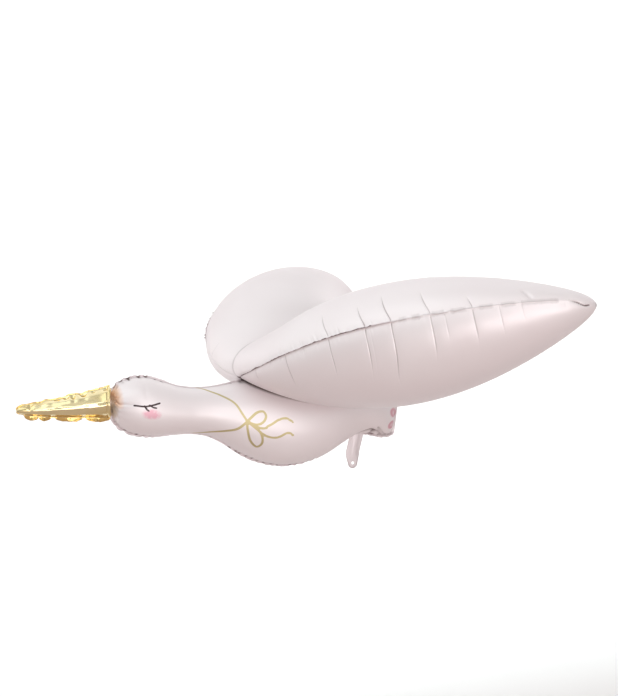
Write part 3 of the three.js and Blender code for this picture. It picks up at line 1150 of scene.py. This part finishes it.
    def with_margins(
        self,
        side: Side,
        u: np.ndarray,
        places: np.ndarray,
        films: list[np.ndarray],
        marks: list[tuple[np.ndarray, np.ndarray]],
    ) -> tuple[np.ndarray, dict[str, np.ndarray]]:
        """Puts the two welded margins between the films' edges, each a thin fin that waves out of its plane.

        Args:
            side: Which wing.
            u: Place along the wing of each ring.
            places: The same, as length along the leading weld.
            films: Points of the upper and the lower film.
            marks: Painted shade and closeness to a weld, for each film.

        Returns:
            The full rings and the values on them.
        """
        _, along, up = self.lobe(side, u, 0 * u)
        closing = smoothstep(*self.flat_weld[side], places)
        fins = []
        for edge, seed, line in ((-1, 61, films[0][:, -1]), (1, 71, films[0][:, 0])):
            seed += side.value
            wave = 1.2 * soft_noise(places / 6, seed) + 0.8 * soft_noise(places / 14, seed + 5)
            width = WELD_WIDTH * (0.62 - 0.2 * soft_noise(places / 8, seed + 9)) * closing
            width *= 1 - 0.85 * smoothstep(*self.fin_end, places)
            width *= 1 + 0.8 * (side is Side.RIGHT) * self.tucks.pull(places)
            faces = fin(line, along * edge, up, width, wave * closing, self.weld_rows, 1.5)
            order = faces if edge < 0 else faces[::-1]
            fins.append(np.concatenate([order[0], order[1][:, ::-1]], axis=1))
        films[0][:, [0, -1]] += (up * WELD_HALF_THICKNESS)[:, None]
        films[1][:, [0, -1]] -= (up * WELD_HALF_THICKNESS)[:, None]
        grid = np.concatenate([films[0], fins[0], films[1], fins[1]], axis=1)
        blank = np.zeros(fins[0].shape[:2])
        # Painted shade on the leading margin, broken up on the left and only in the tucks on the right.
        start, end = self.painted_weld_shade[side]
        weld_shade = smoothstep(start, start + 30, places) * smoothstep(end, end - 40, places)
        if side is Side.LEFT:
            weld_shade *= smoothstep(-0.9, -0.2, soft_noise(places / 9, 83))
        else:
            weld_shade *= self.tucks.pull(places)
        weld_shade = np.maximum(weld_shade, self.dash_shade(side, places))
        shown = (closing * (1 - smoothstep(*self.sheen_end, places)))[:, None]
        to_vertex = np.linalg.norm(grid - films[0][:1, -1:], axis=-1)
        to_tip = np.linalg.norm(grid - grid[-1].mean(axis=0), axis=-1)
        # The crease value is painted shade: the films', the leading margin's, and more at the waist's vertex
        # and the tip.
        values = {
            "crease": np.maximum(
                np.concatenate([marks[0][0], blank + weld_shade[:, None], marks[1][0], blank], axis=1),
                smoothstep(20, 7, to_vertex) + 0.7 * smoothstep(11, 4, to_tip),
            ),
            "margin": np.concatenate([marks[0][1], blank + shown, marks[1][1], blank + shown], axis=1),
        }
        return grid, values

    def skin(self) -> Skin:
        """Both wings as one closed skin that shares the waist's ring."""
        grids = [self.grid(side) for side in Side]
        points, quads, triangles, values = [], [], [], {}
        base = 0
        waist = None
        for grid, marks in grids:
            rings, around = grid.shape[:2]
            grid[0, :, 1] = 0
            kept = 0 if waist is None else 1
            index = base + np.arange((rings - kept) * around).reshape(rings - kept, around)
            index = index if waist is None else np.concatenate([waist[None], index])
            waist = index[0] if waist is None else waist
            pole = base + (rings - kept) * around
            fan = np.stack([np.roll(index[-1], -1), index[-1], np.full(around, pole)], axis=-1)
            part = Skin(np.concatenate([grid.reshape(-1, 3), grid[-1:].mean(axis=1)]), ring_quads(index), fan)
            own = np.arange(rings * around).reshape(rings, around)
            turned = Skin(part.points, ring_quads(own), fan).outward().quads[0, 0] != ring_quads(own)[0, 0]
            quads.append(part.quads[:, ::-1] if turned else part.quads)
            triangles.append(part.triangles[:, ::-1] if turned else part.triangles)
            points.append(np.concatenate([grid[kept:].reshape(-1, 3), grid[-1:].mean(axis=1)]))
            for name, value in marks.items():
                flat = np.concatenate([value[kept:].ravel(), [value[-1].mean()]])
                values.setdefault(name, []).append(flat)
            base = pole + 1
        joined = {name: np.concatenate(parts) for name, parts in values.items()}
        return Skin(np.concatenate(points), np.concatenate(quads), np.concatenate(triangles), joined)

    def underside(self) -> np.ndarray:
        """Many points of both lower films, as a height map's samples."""
        u = (1 - np.cos(np.pi * np.linspace(0, 1, 900))) / 2
        u = np.minimum(u[:640], 1 - self.tip_cut)
        angle = np.linspace(np.pi, 2 * np.pi, 420)
        places, angles = np.meshgrid(u, angle, indexing="ij")
        return np.concatenate([self.lobe(side, places, angles)[0].reshape(-1, 3) for side in Side])


@dataclass
class Pressing:
    """The wings' underside as a height map over the body, which presses the body's film down."""

    samples: np.ndarray
    cell: float = 4.0
    low: tuple[float, float] = (-420.0, -160.0)
    high: tuple[float, float] = (180.0, 160.0)

    def heights(self) -> np.ndarray:
        """The lowest sample in each cell of the map, and a great height where there is none."""
        size = [int((last - first) / self.cell) + 1 for first, last in zip(self.low, self.high)]
        cells = ((self.samples[:, :2] - np.array(self.low)) / self.cell).round().astype(int)
        inside = np.all((cells >= 0) & (cells < np.array(size)), axis=1)
        table = np.full(size, FAR_UP)
        np.minimum.at(table, tuple(cells[inside].T), self.samples[inside, 2])
        return table

    def ceiling(self, grid: np.ndarray) -> np.ndarray:
        """The wings' height over each point, blended between the map's cells, or a great height."""
        table = self.heights()
        place = (grid[..., :2] - np.array(self.low)) / self.cell
        i = np.clip(np.floor(place).astype(int), 0, np.array(table.shape) - 2)
        f = np.clip(place - i, 0, 1)
        x, y = i[..., 0], i[..., 1]
        fx, fy = f[..., 0], f[..., 1]
        near = table[x, y] * (1 - fx) + table[x + 1, y] * fx
        far = table[x, y + 1] * (1 - fx) + table[x + 1, y + 1] * fx
        outside = np.any((place < 0) | (place > np.array(table.shape) - 1), axis=-1)
        return np.where(outside, FAR_UP, near * (1 - fy) + far * fy)

    def under(self, grid: np.ndarray) -> np.ndarray:
        """Lowers every point that would be inside the wings to just under them.

        Args:
            grid: The body's points.

        Returns:
            The pressed points.
        """
        pressed = grid.copy()
        pressed[..., 2] = np.minimum(grid[..., 2], self.ceiling(grid) - CONTACT_GAP)
        return pressed

    def contact_shade(self, grid: np.ndarray) -> np.ndarray:
        """Painted shade on the body where it touches the wings: 1 there, down to 0 at 12 mm below them."""
        return smoothstep(12, 1.5, self.ceiling(grid) - grid[..., 2])


# As for the body, from the beak's open base to its point.
BEAK_STATIONS = np.array(
    [
        [-762.8, 192, -763.2, 262, 30],
        [-765, 185, -766, 269, 37],
        [-771, 183, -772, 270, 41],
        [-800, 185, -802, 262, 38],
        [-860, 189, -862, 251, 34],
        [-930, 194, -930, 242, 27],
        [-985, 200, -985, 234, 19],
        [-1014, 205, -1014, 229, 13],
        [-1026, 208, -1026, 225, 9],
        [-1031, 212, -1031, 220, 4],
    ],
    dtype=float,
)


@dataclass
class BeakBalloon:
    """The gold beak: a long tapering pillow with lengthwise ridges and a ruffled margin below."""

    form: UprightForm = field(
        default_factory=lambda: UprightForm(BEAK_STATIONS, weld_above=4, weld_below=12, weld_rows=5)
    )
    rings: int = 300
    rows: int = 84
    upper_gathers: Gathers = Gathers(seed=31, pitch=29, depth=6.0, reach=24, width=7.5)
    lower_gathers: Gathers = Gathers(seed=32, pitch=24, depth=2.4, reach=12, width=6)
    # How far the open base is scooped out at its sides, where the head bulges into it.
    mouth_scoop: float = 13
    # Ridges between the flat facets of each side, as angles up from its middle.
    ridges: tuple[float, ...] = (-1.57, -0.72, -0.08, 0.24, 0.85, 1.57)
    # Lengths of the lower margin that swing out as one ruffle each, as distances from the base.
    ruffles: tuple[tuple[float, float], ...] = ((0, 74), (84, 160), (172, 207), (207, 246))
    # The pressed line round the base: its distance from it, depth and half width.
    base_line: tuple[float, float, float] = (15, 2.2, 3.2)
    # Near a weld the relief sinks to nothing over this length.
    sink_run: float = 8

    def film(self, u: np.ndarray, side: Side) -> np.ndarray:
        """One film: long flat facets with sharp ridges, fading at the base's rim, and gathers at both welds.

        A facet is the chord between two ridges, so it lies T (1 - cos(w) / cos(d)) inside the round film,
        with w half its angle and d the angle from its middle.

        Args:
            u: Places of the rings.
            side: Which film.

        Returns:
            The points.
        """
        points, angle, girth = self.form.shell(u, self.rows)
        x = points[..., 0]
        back = self.form.stations[0, 0] - x
        seed = 90 + side.value
        wander = 0.07 * soft_noise(back / 60 + 7 * side.value, seed) + 0.03 * soft_noise(back / 17, seed + 1)
        ridges = np.array(self.ridges)
        facet = np.clip(np.searchsorted(ridges, angle + wander) - 1, 0, len(ridges) - 2)
        half_width = (ridges[facet + 1] - ridges[facet]) / 2
        from_middle = angle + wander - ridges[facet] - half_width
        thickness = self.form.middle_and_half(u)[2][:, None]
        flat = thickness * (1 - np.cos(half_width) / np.cos(from_middle))
        crumple = 0.5 * ridged(back / 50 - 0.5 * angle, 2.3 * angle + 9, seed + 10)
        relief = (flat + crumple) * smoothstep(4, 24, back) * smoothstep(270, 210, back)
        lower = girth - girth[:, :1]
        upper = girth[:, -1:] - girth
        for line, distance, gathers in ((0, lower, self.lower_gathers), (-1, upper, self.upper_gathers)):
            along = np.repeat(run_length(points[:, line])[:, None], self.rows, axis=1)
            relief += gathers.relief(along, side.value * (distance + OFF_THE_WELD), smoothstep(6, 26, back))
        place, depth, width = self.base_line
        relief += depth * np.exp(-(((back - place) / width) ** 2))
        sink = sunk_at_welds(np.minimum(lower, upper), self.sink_run)
        points = points - BodyBalloon.film_normals(points) * (relief * sink)[..., None]
        points[..., 2] += self.crown(back) * smoothstep(40, 0, upper)
        points[..., 0] -= self.mouth_scoop * np.cos(angle) ** 1.5 * smoothstep(48, 0, back)
        points[..., 1] *= side.value
        return points

    @staticmethod
    def crown(back: np.ndarray) -> np.ndarray:
        """How far the crumpled upper edge rises and falls, by distance from the base."""
        return 3.2 * soft_noise(back / 17, 111) * smoothstep(10, 40, back) * smoothstep(262, 230, back)

    def margins(self, u: np.ndarray, upper: bool) -> np.ndarray:
        """One margin: narrow and crumpled above, or wide and swinging to either side in ruffles below."""
        line, out = self.form.margin(u, upper)
        along = run_length(line)
        back = self.form.stations[0, 0] - line[:, 0]
        start = smoothstep(1, 7, back)
        if upper:
            line = line + np.outer(self.crown(back), [0, 0, 1])
            wave = 0.5 * soft_noise(along / 6, 101) + 1.2 * soft_noise(along / 16, 102)
            width = self.form.weld_above * (0.8 + 0.2 * soft_noise(along / 12, 103)) * start
        else:
            swell = np.zeros_like(back)
            swing = np.zeros_like(back)
            for number, (near, far) in enumerate(self.ruffles):
                share = np.clip((back - near) / (far - near), 0, 1)
                swell = np.maximum(swell, np.sin(np.pi * share) ** 0.4)
                swing += (1 - 2 * (number % 2)) * np.sin(2 * np.pi * share)
            wave = 4.5 * swing + 1.2 * soft_noise(along / 6, 105)
            width = self.form.weld_below * (0.2 + 0.9 * swell + 0.08 * soft_noise(along / 9, 106)) * start
            width *= 1 - 0.5 * smoothstep(235, 262, back)
        right, left = fin(line, out, np.array([0, 1, 0]), width, wave * start, self.form.weld_rows, 1.4)
        return np.concatenate([right, left[:, ::-1]], axis=1)

    def skin(self) -> Skin:
        """The whole beak as one closed skin."""
        fine = np.linspace(0, 1, 3000)
        x = self.form.stations[0, 0] - through(self.form.stations, fine)[:, 0]
        even = close_steps(x[-1], self.rings, np.array([0, 8, x[-1]]), reach=12, gain=1.5)
        u = np.interp(even, x, fine)
        above, below = self.margins(u, True), self.margins(u, False)
        right, left = self.film(u, Side.RIGHT), self.film(u, Side.LEFT)
        grid = np.concatenate([right, above, left[:, ::-1], below[:, ::-1]], axis=1)
        blank = np.zeros(right.shape[:2])
        margin = np.concatenate([blank, np.ones(above.shape[:2]), blank, np.ones(below.shape[:2])], axis=1)
        return tube(grid, {"margin": margin})


Socket = bpy.types.NodeSocket


def add_node(
    tree: bpy.types.NodeTree,
    kind: str,
    settings: dict[str, object] | None = None,
    inputs: dict[str | int, object] | None = None,
) -> bpy.types.Node:
    """Adds a node, sets its own settings, and sets or links its inputs.

    Args:
        tree: The tree that it goes into.
        kind: The node's type name.
        settings: Values of its properties.
        inputs: For each input, by name or number, a value or the output socket that feeds it.

    Returns:
        The new node.
    """
    node = tree.nodes.new(kind)
    for name, value in (settings or {}).items():
        setattr(node, name, value)
    for name, value in (inputs or {}).items():
        if isinstance(value, Socket):
            tree.links.new(value, node.inputs[name])
        else:
            node.inputs[name].default_value = value
    return node


def new_material(name: str) -> tuple[bpy.types.Material, bpy.types.Node]:
    """An empty node material with its principled shader already wired to the output."""
    material = bpy.data.materials.new(name)
    material.use_nodes = True
    tree = material.node_tree
    tree.nodes.clear()
    shader = add_node(tree, "ShaderNodeBsdfPrincipled")
    add_node(tree, "ShaderNodeOutputMaterial", inputs={"Surface": shader.outputs["BSDF"]})
    return material, shader


def blend_colour(tree: bpy.types.NodeTree, amount: Socket, first: object, second: object) -> Socket:
    """Mixes two colours, each a value or a socket, by an amount from 0 to 1."""
    node = add_node(tree, "ShaderNodeMix", {"data_type": "RGBA"}, {0: amount, 6: first, 7: second})
    return node.outputs[2]


def attribute(tree: bpy.types.NodeTree, name: str) -> Socket:
    """The value of a mesh attribute."""
    return add_node(tree, "ShaderNodeAttribute", {"attribute_name": name}).outputs["Fac"]


def between(
    tree: bpy.types.NodeTree, value: Socket, low: float, high: float, to: tuple[float, float] = (0, 1)
) -> Socket:
    """Maps a value from low..high onto another range, clamped."""
    inputs = {"Value": value, "From Min": low, "From Max": high, "To Min": to[0], "To Max": to[1]}
    return add_node(tree, "ShaderNodeMapRange", {"clamp": True}, inputs).outputs["Result"]


def larger(tree: bpy.types.NodeTree, first: Socket, second: Socket) -> Socket:
    """The larger of two values."""
    return add_node(tree, "ShaderNodeMath", {"operation": "MAXIMUM"}, {0: first, 1: second}).outputs[0]


def cloudy(
    tree: bpy.types.NodeTree, where: Socket, size_mm: float, detail: float = 2.0, roughness: float = 0.5
) -> Socket:
    """Soft noise from 0 to 1 whose patches are about size_mm across."""
    inputs = {"Vector": where, "Scale": 1 / (size_mm * MM), "Detail": detail, "Roughness": roughness}
    return add_node(tree, "ShaderNodeTexNoise", inputs=inputs).outputs["Fac"]


def wire(
    tree: bpy.types.NodeTree, shader: bpy.types.Node, colour: Socket, rough: Socket, bump: bpy.types.Node
) -> None:
    """Links colour, roughness and relief to a shader."""
    tree.links.new(colour, shader.inputs["Base Color"])
    tree.links.new(rough, shader.inputs["Roughness"])
    tree.links.new(bump.outputs["Normal"], shader.inputs["Normal"])


@dataclass(frozen=True)
class PearlFoil:
    """Satin metallised nylon foil, printed a pale powder pink: a soft wide sheen, white in its highlights."""

    name: str = "pearl_pink_foil"
    base: str = "F3EBEC"
    shade: str = "ECDEE0"
    # The crease colour is painted shade: the crease value lays it into gathers, folds, creases, shaded welds,
    # under the wings and on the filling strip.
    crease: str = "604644"
    margin: str = "D2C4C7"
    # The paler and the deeper patches of the pink are some 320 mm across.
    patch_mm: float = 320
    # The film's slack ripples are some 60 mm long. Its satin grain, 2 mm here, is coarser than the real one.
    ripple_mm: float = 60
    grain_mm: float = 2
    # How metallic the plain film and the welded margin are. The roughness varies with the patches.
    metal: tuple[float, float] = (0.34, 0.55)
    roughness: tuple[float, float] = (0.4, 0.47)
    printed: bool = False
    # The bow is printed in gold ink, duller than the beak's foil.
    gold: str = "D2C498"
    gold_roughness: float = 0.55
    ink: str = "4A3B3D"
    blush: str = "EBA2B6"
    speckle_mm: float = 7
    tail_pink: str = "D2899B"
    # At the mouth the film is drawn taut and more mirror-like, and the gold beside it is painted on as a
    # reflection.
    mouth_gold_reflection: str = "F8C6A2"
    mouth_roughness: tuple[float, float] = (0.44, 0.2)

    def build(self) -> bpy.types.Material:
        """Makes the material: colour by place, painted shade by crease, print by the mesh's values, ripple and
        grain.
        """
        material, shader = new_material(self.name)
        tree = material.node_tree
        where = add_node(tree, "ShaderNodeTexCoord").outputs["Object"]
        patch = cloudy(tree, where, self.patch_mm)
        margin = attribute(tree, "margin")
        # The last step darkens by the crease value: painted shade.
        steps = (
            (between(tree, patch, 0.35, 0.75, (0, 0.35)), self.shade),
            (between(tree, margin, 0.2, 1, (0, 0.6)), self.margin),
            (between(tree, attribute(tree, "crease"), 0.12, 1.0, (0, 0.9)), self.crease),
        )
        colour = linear(self.base)
        for amount, added in steps:
            colour = blend_colour(tree, amount, colour, linear(added))
        metal = between(tree, margin, 0, 1, self.metal)
        rough = between(tree, patch, 0.3, 0.7, self.roughness)
        if self.printed:
            colour, metal, rough = self.add_print(tree, where, colour, metal)
        ripple = cloudy(tree, where, self.ripple_mm, detail=1.0, roughness=0.4)
        grain = cloudy(tree, where, self.grain_mm, detail=1.0)
        inputs = {"Height": ripple, "Distance": 0.0016, "Strength": 0.5}
        wave = add_node(tree, "ShaderNodeBump", inputs=inputs)
        inputs = {"Height": grain, "Distance": 0.00006, "Strength": 0.35, "Normal": wave.outputs["Normal"]}
        bump = add_node(tree, "ShaderNodeBump", inputs=inputs)
        wire(tree, shader, colour, rough, bump)
        tree.links.new(metal, shader.inputs["Metallic"])
        settings = {"IOR": 1.5, "Specular IOR Level": 0.25, "Coat Weight": 0.05, "Coat Roughness": 0.16}
        for name, value in settings.items():
            shader.inputs[name].default_value = value
        shader.inputs["Specular Tint"].default_value = linear("C4B8BA")
        return material

    def add_print(
        self, tree: bpy.types.NodeTree, where: Socket, colour: Socket, metal: Socket
    ) -> tuple[Socket, Socket, Socket]:
        """Prints blush, tail's ovals, eye and bow over the plain film, and paints the gold's reflection at the
        mouth.

        Args:
            tree: The material's nodes.
            where: The place on the object.
            colour: The film's colour.
            metal: How metallic the film is.

        Returns:
            The new colour, metal and roughness.
        """
        speck = cloudy(tree, where, self.speckle_mm, detail=3.0)
        inputs = {0: attribute(tree, "cheek"), 1: speck}
        soft = add_node(tree, "ShaderNodeMath", {"operation": "MULTIPLY"}, inputs).outputs[0]
        mouth = attribute(tree, "mouth")
        bow = between(tree, attribute(tree, "bow"), -0.4, 0.4)
        steps = (
            (between(tree, soft, 0.02, 0.34, (0, 0.7)), self.blush),
            (between(tree, attribute(tree, "tail_mark"), 0, 1, (0, 0.75)), self.tail_pink),
            (between(tree, mouth, 0.05, 0.35, (0, 0.65)), self.mouth_gold_reflection),
            (between(tree, attribute(tree, "eye"), -0.4, 0.4), self.ink),
            (bow, self.gold),
        )
        for amount, added in steps:
            colour = blend_colour(tree, amount, colour, linear(added))
        rough = between(tree, mouth, 0, 1, self.mouth_roughness)
        rough = larger(tree, rough, between(tree, bow, 0, 1, (0, self.gold_roughness)))
        return colour, larger(tree, larger(tree, metal, bow), mouth), rough


@dataclass(frozen=True)
class GoldFoil:
    """Bright gold metallised foil: mirror-like, so its creases show as hard bands of light and dark."""

    name: str = "gold_foil"
    base: str = "F2E2B4"
    deep: str = "DDC078"
    margin: str = "E8C47C"
    patch_mm: float = 40
    wrinkle_mm: float = 26
    # Wrinkles and patches are drawn out along the beak: lengths there count only this much.
    stretch: float = 0.22
    roughness: tuple[float, float] = (0.13, 0.2)

    def build(self) -> bpy.types.Material:
        """Makes the material: warm gold, deeper in patches, yellower at the margin, with long wrinkles."""
        material, shader = new_material(self.name)
        tree = material.node_tree
        where = add_node(tree, "ShaderNodeTexCoord").outputs["Object"]
        inputs = {"Vector": where, "Scale": (self.stretch, 1.0, 1.0)}
        drawn_out = add_node(tree, "ShaderNodeMapping", inputs=inputs).outputs["Vector"]
        patch = cloudy(tree, drawn_out, self.patch_mm, detail=3.0)
        deep = between(tree, patch, 0.4, 0.72, (0, 0.7))
        colour = blend_colour(tree, deep, linear(self.base), linear(self.deep))
        colour = blend_colour(tree, attribute(tree, "margin"), colour, linear(self.margin))
        wrinkle = cloudy(tree, drawn_out, self.wrinkle_mm, roughness=0.45)
        inputs = {"Height": wrinkle, "Distance": 0.002, "Strength": 0.5}
        bump = add_node(tree, "ShaderNodeBump", inputs=inputs)
        wire(tree, shader, colour, between(tree, patch, 0.3, 0.7, self.roughness), bump)
        shader.inputs["Metallic"].default_value = 1.0
        return material


def aimed(place: tuple[float, ...], target: tuple[float, ...]) -> Matrix:
    """The placing of a camera or light at a place, looking at a target, with its top up."""
    look = Vector(target) - Vector(place)
    return Matrix.Translation(place) @ look.to_track_quat("-Z", "Y").to_matrix().to_4x4()


@dataclass(frozen=True)
class Softbox:
    """A rectangular soft light that faces a point.

    Attributes:
        name: Its name.
        place: Where it hangs.
        size: Its width and height.
        watts: Its power.
        colour: Its colour.
        target: The point that it faces: the bird, unless it is given.
    """

    name: str
    place: tuple[float, float, float]
    size: tuple[float, float]
    watts: float
    colour: str = "FFFFFF"
    target: tuple[float, float, float] = (-0.2, 0.0, 0.3)

    def hang(self) -> None:
        """Makes the light."""
        data = bpy.data.lights.new(self.name, "AREA")
        data.shape = "RECTANGLE"
        data.size, data.size_y = self.size
        data.energy = self.watts
        data.color = linear(self.colour)[:3]
        made = bpy.data.objects.new(self.name, data)
        made.matrix_world = aimed(self.place, self.target)
        bpy.context.scene.collection.objects.link(made)


@dataclass(frozen=True)
class Studio:
    """A pale floor that sweeps up behind the bird, soft lights and the camera at the photograph's angle."""

    camera_place: tuple[float, float, float] = (-2.1984, -3.9881, 0.7241)
    camera_target: tuple[float, float, float] = (-0.1475, 0.0, 0.352)
    # The photograph's frame is 618 by 696 pixels, and its focal length comes to 1530 of them.
    frame_height: float = 696
    focal: float = 1530
    sensor: float = 36
    floor_height: float = -1.5
    wall_height: float = 5.4
    # In front of the bird the floor is long and gets wider, so that it also fills the views from behind.
    floor_front: float = -24
    floor_back: float = 6
    floor_half_width: float = 12
    floor_widening: float = 18
    turn_radius: float = 3
    # The paper near the bird in two tones darkened as painted shade, turning white between two distances
    # behind.
    shaded_paper: tuple[str, str] = ("C2B3B0", "BEAFAC")
    paper_patch_mm: float = 1250
    paper_behind: str = "FFFFFF"
    paper_turns: tuple[float, float] = (0.4, 2.2)
    # The room's light: dim from low in front, grey from high in front, white from behind.
    room_low: str = "606060"
    room_front: str = "BBBBBA"
    room_behind: str = "FCFFFF"
    room_strength: float = 1.17
    softboxes: tuple[Softbox, ...] = (
        Softbox("overhead_softbox", (-2.0, -1.0, 2.7), (3.4, 2.8), 24, "F0FFFF"),
        Softbox("top_front_softbox", (-0.6, -3.4, 2.9), (3.0, 2.4), 5),
        Softbox("low_front_softbox", (0.0, -4.6, -1.0), (3.8, 2.0), 68),
        Softbox("front_softbox", (0.1, -5.3, 1.7), (2.4, 1.9), 30),
        Softbox("left_softbox", (-4.2, -0.8, 1.2), (3.0, 2.4), 5),
        Softbox("low_left_softbox", (-2.8, -4.6, -0.8), (3.0, 2.2), 7),
        Softbox("right_softbox", (2.45, -5.1, 1.7), (4.6, 3.0), 5),
        Softbox("backdrop_light_left", (-5.0, 5.0, 4.5), (3, 3), 230, target=(-3.5, 9.0, 1)),
        Softbox("backdrop_light_right", (6.5, 5.0, 4.5), (3, 3), 230, target=(5, 9.0, 1)),
    )

    def camera(self) -> None:
        """Makes the camera and gives it to the scene."""
        data = bpy.data.cameras.new("camera")
        data.sensor_width = self.sensor
        data.lens = self.focal * self.sensor / self.frame_height
        made = bpy.data.objects.new("camera", data)
        made.matrix_world = aimed(self.camera_place, self.camera_target)
        bpy.context.scene.collection.objects.link(made)
        bpy.context.scene.camera = made

    def backdrop(self) -> None:
        """The floor and its sweep: flat to behind the bird, then a quarter turn up to a wall."""
        flat = np.linspace(self.floor_front, self.floor_back, 24)
        turn = np.linspace(0, math.pi / 2, 24)[1:]
        wall = self.floor_back + self.turn_radius
        y = np.concatenate([flat, self.floor_back + self.turn_radius * np.sin(turn), [wall]])
        rise = self.turn_radius * (1 - np.cos(turn))
        z = np.concatenate([0 * flat, rise, [self.wall_height]]) + self.floor_height
        across = np.linspace(-self.floor_half_width, self.floor_half_width, 12)[:, None]
        x = across * (1 + np.clip(-y, 0, None) / self.floor_widening)
        points = np.stack([x, y + 0 * x, z + 0 * x], axis=-1)
        index = np.arange(x.size).reshape(x.shape)
        quads = np.stack([index[:-1, :-1], index[1:, :-1], index[1:, 1:], index[:-1, 1:]], axis=-1)
        skin = Skin(points.reshape(-1, 3) / MM, quads.reshape(-1, 4), np.empty((0, 3), dtype=int))
        sweep = skin.to_object("studio_sweep")
        material, shader = new_material("matt_studio_paper")
        tree = material.node_tree
        where = add_node(tree, "ShaderNodeTexCoord").outputs["Object"]
        noise = cloudy(tree, where, self.paper_patch_mm)
        # Near the bird the paper is painted darker as shade; behind it turns white.
        near = blend_colour(tree, between(tree, noise, 0.3, 0.7), *[linear(tone) for tone in self.shaded_paper])
        behind = add_node(tree, "ShaderNodeSeparateXYZ", inputs={"Vector": where}).outputs["Y"]
        amount = between(tree, behind, *self.paper_turns)
        tint = blend_colour(tree, amount, near, linear(self.paper_behind))
        tree.links.new(tint, shader.inputs["Base Color"])
        shader.inputs["Roughness"].default_value = 0.9
        sweep.data.materials.append(material)
        sweep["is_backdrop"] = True

    def world(self) -> None:
        """Even room light: white from behind the bird, greyer from the front and dim from low in front."""
        world = bpy.data.worlds.new("studio_room")
        world.use_nodes = True
        tree = world.node_tree
        tree.nodes.clear()
        way = add_node(tree, "ShaderNodeTexCoord").outputs["Generated"]
        parts = add_node(tree, "ShaderNodeSeparateXYZ", inputs={"Vector": way}).outputs
        high = between(tree, parts["Z"], -0.08, 0.12)
        front = blend_colour(tree, high, linear(self.room_low), linear(self.room_front))
        behind = between(tree, parts["Y"], -0.1, 0.6)
        colour = blend_colour(tree, behind, front, linear(self.room_behind))
        inputs = {"Color": colour, "Strength": self.room_strength}
        light = add_node(tree, "ShaderNodeBackground", inputs=inputs)
        add_node(tree, "ShaderNodeOutputWorld", inputs={"Surface": light.outputs[0]})
        bpy.context.scene.world = world

    def build(self) -> None:
        """Camera first, then the sweep, the lights and the room."""
        self.camera()
        self.backdrop()
        for softbox in self.softboxes:
            softbox.hang()
        self.world()
        bpy.context.scene.view_settings.view_transform = "Standard"


def place_piece(skin: Skin, name: str, node: str, material: bpy.types.Material) -> None:
    """Turns a skin into a piece that rides on the one body and stands for its solid.

    Args:
        skin: The piece's surface.
        name: The piece's name.
        node: The solid that it replaces.
        material: Its material.
    """
    made = skin.to_object(name)
    made.data.materials.append(material)
    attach(made, "root")
    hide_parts(node)
    LOG.info("%s: %d points, %d faces", name, len(skin.points), len(skin.quads) + len(skin.triangles))


def corners() -> list[list[float]]:
    """The shown object's lowest and highest corner, as plain lists."""
    return [list(corner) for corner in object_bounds()]


def main() -> None:
    """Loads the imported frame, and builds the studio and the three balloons."""
    logging.basicConfig(level=logging.INFO, format="%(name)s %(message)s")
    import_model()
    Studio().build()
    wings = WingBalloon()
    pearl = PearlFoil().build()
    pearl_print = PearlFoil(name="printed_pearl_pink_foil", printed=True).build()
    gold = GoldFoil().build()
    body = BodyBalloon().skin(Pressing(wings.underside())).joined(InflationTail().skin())
    place_piece(wings.skin(), "wing_foil", "wing_balloon", pearl)
    place_piece(body, "body_foil", "body_balloon", pearl_print)
    place_piece(BeakBalloon().skin(), "beak_foil", "beak_balloon", gold)


if __name__ == "__main__":
    main()
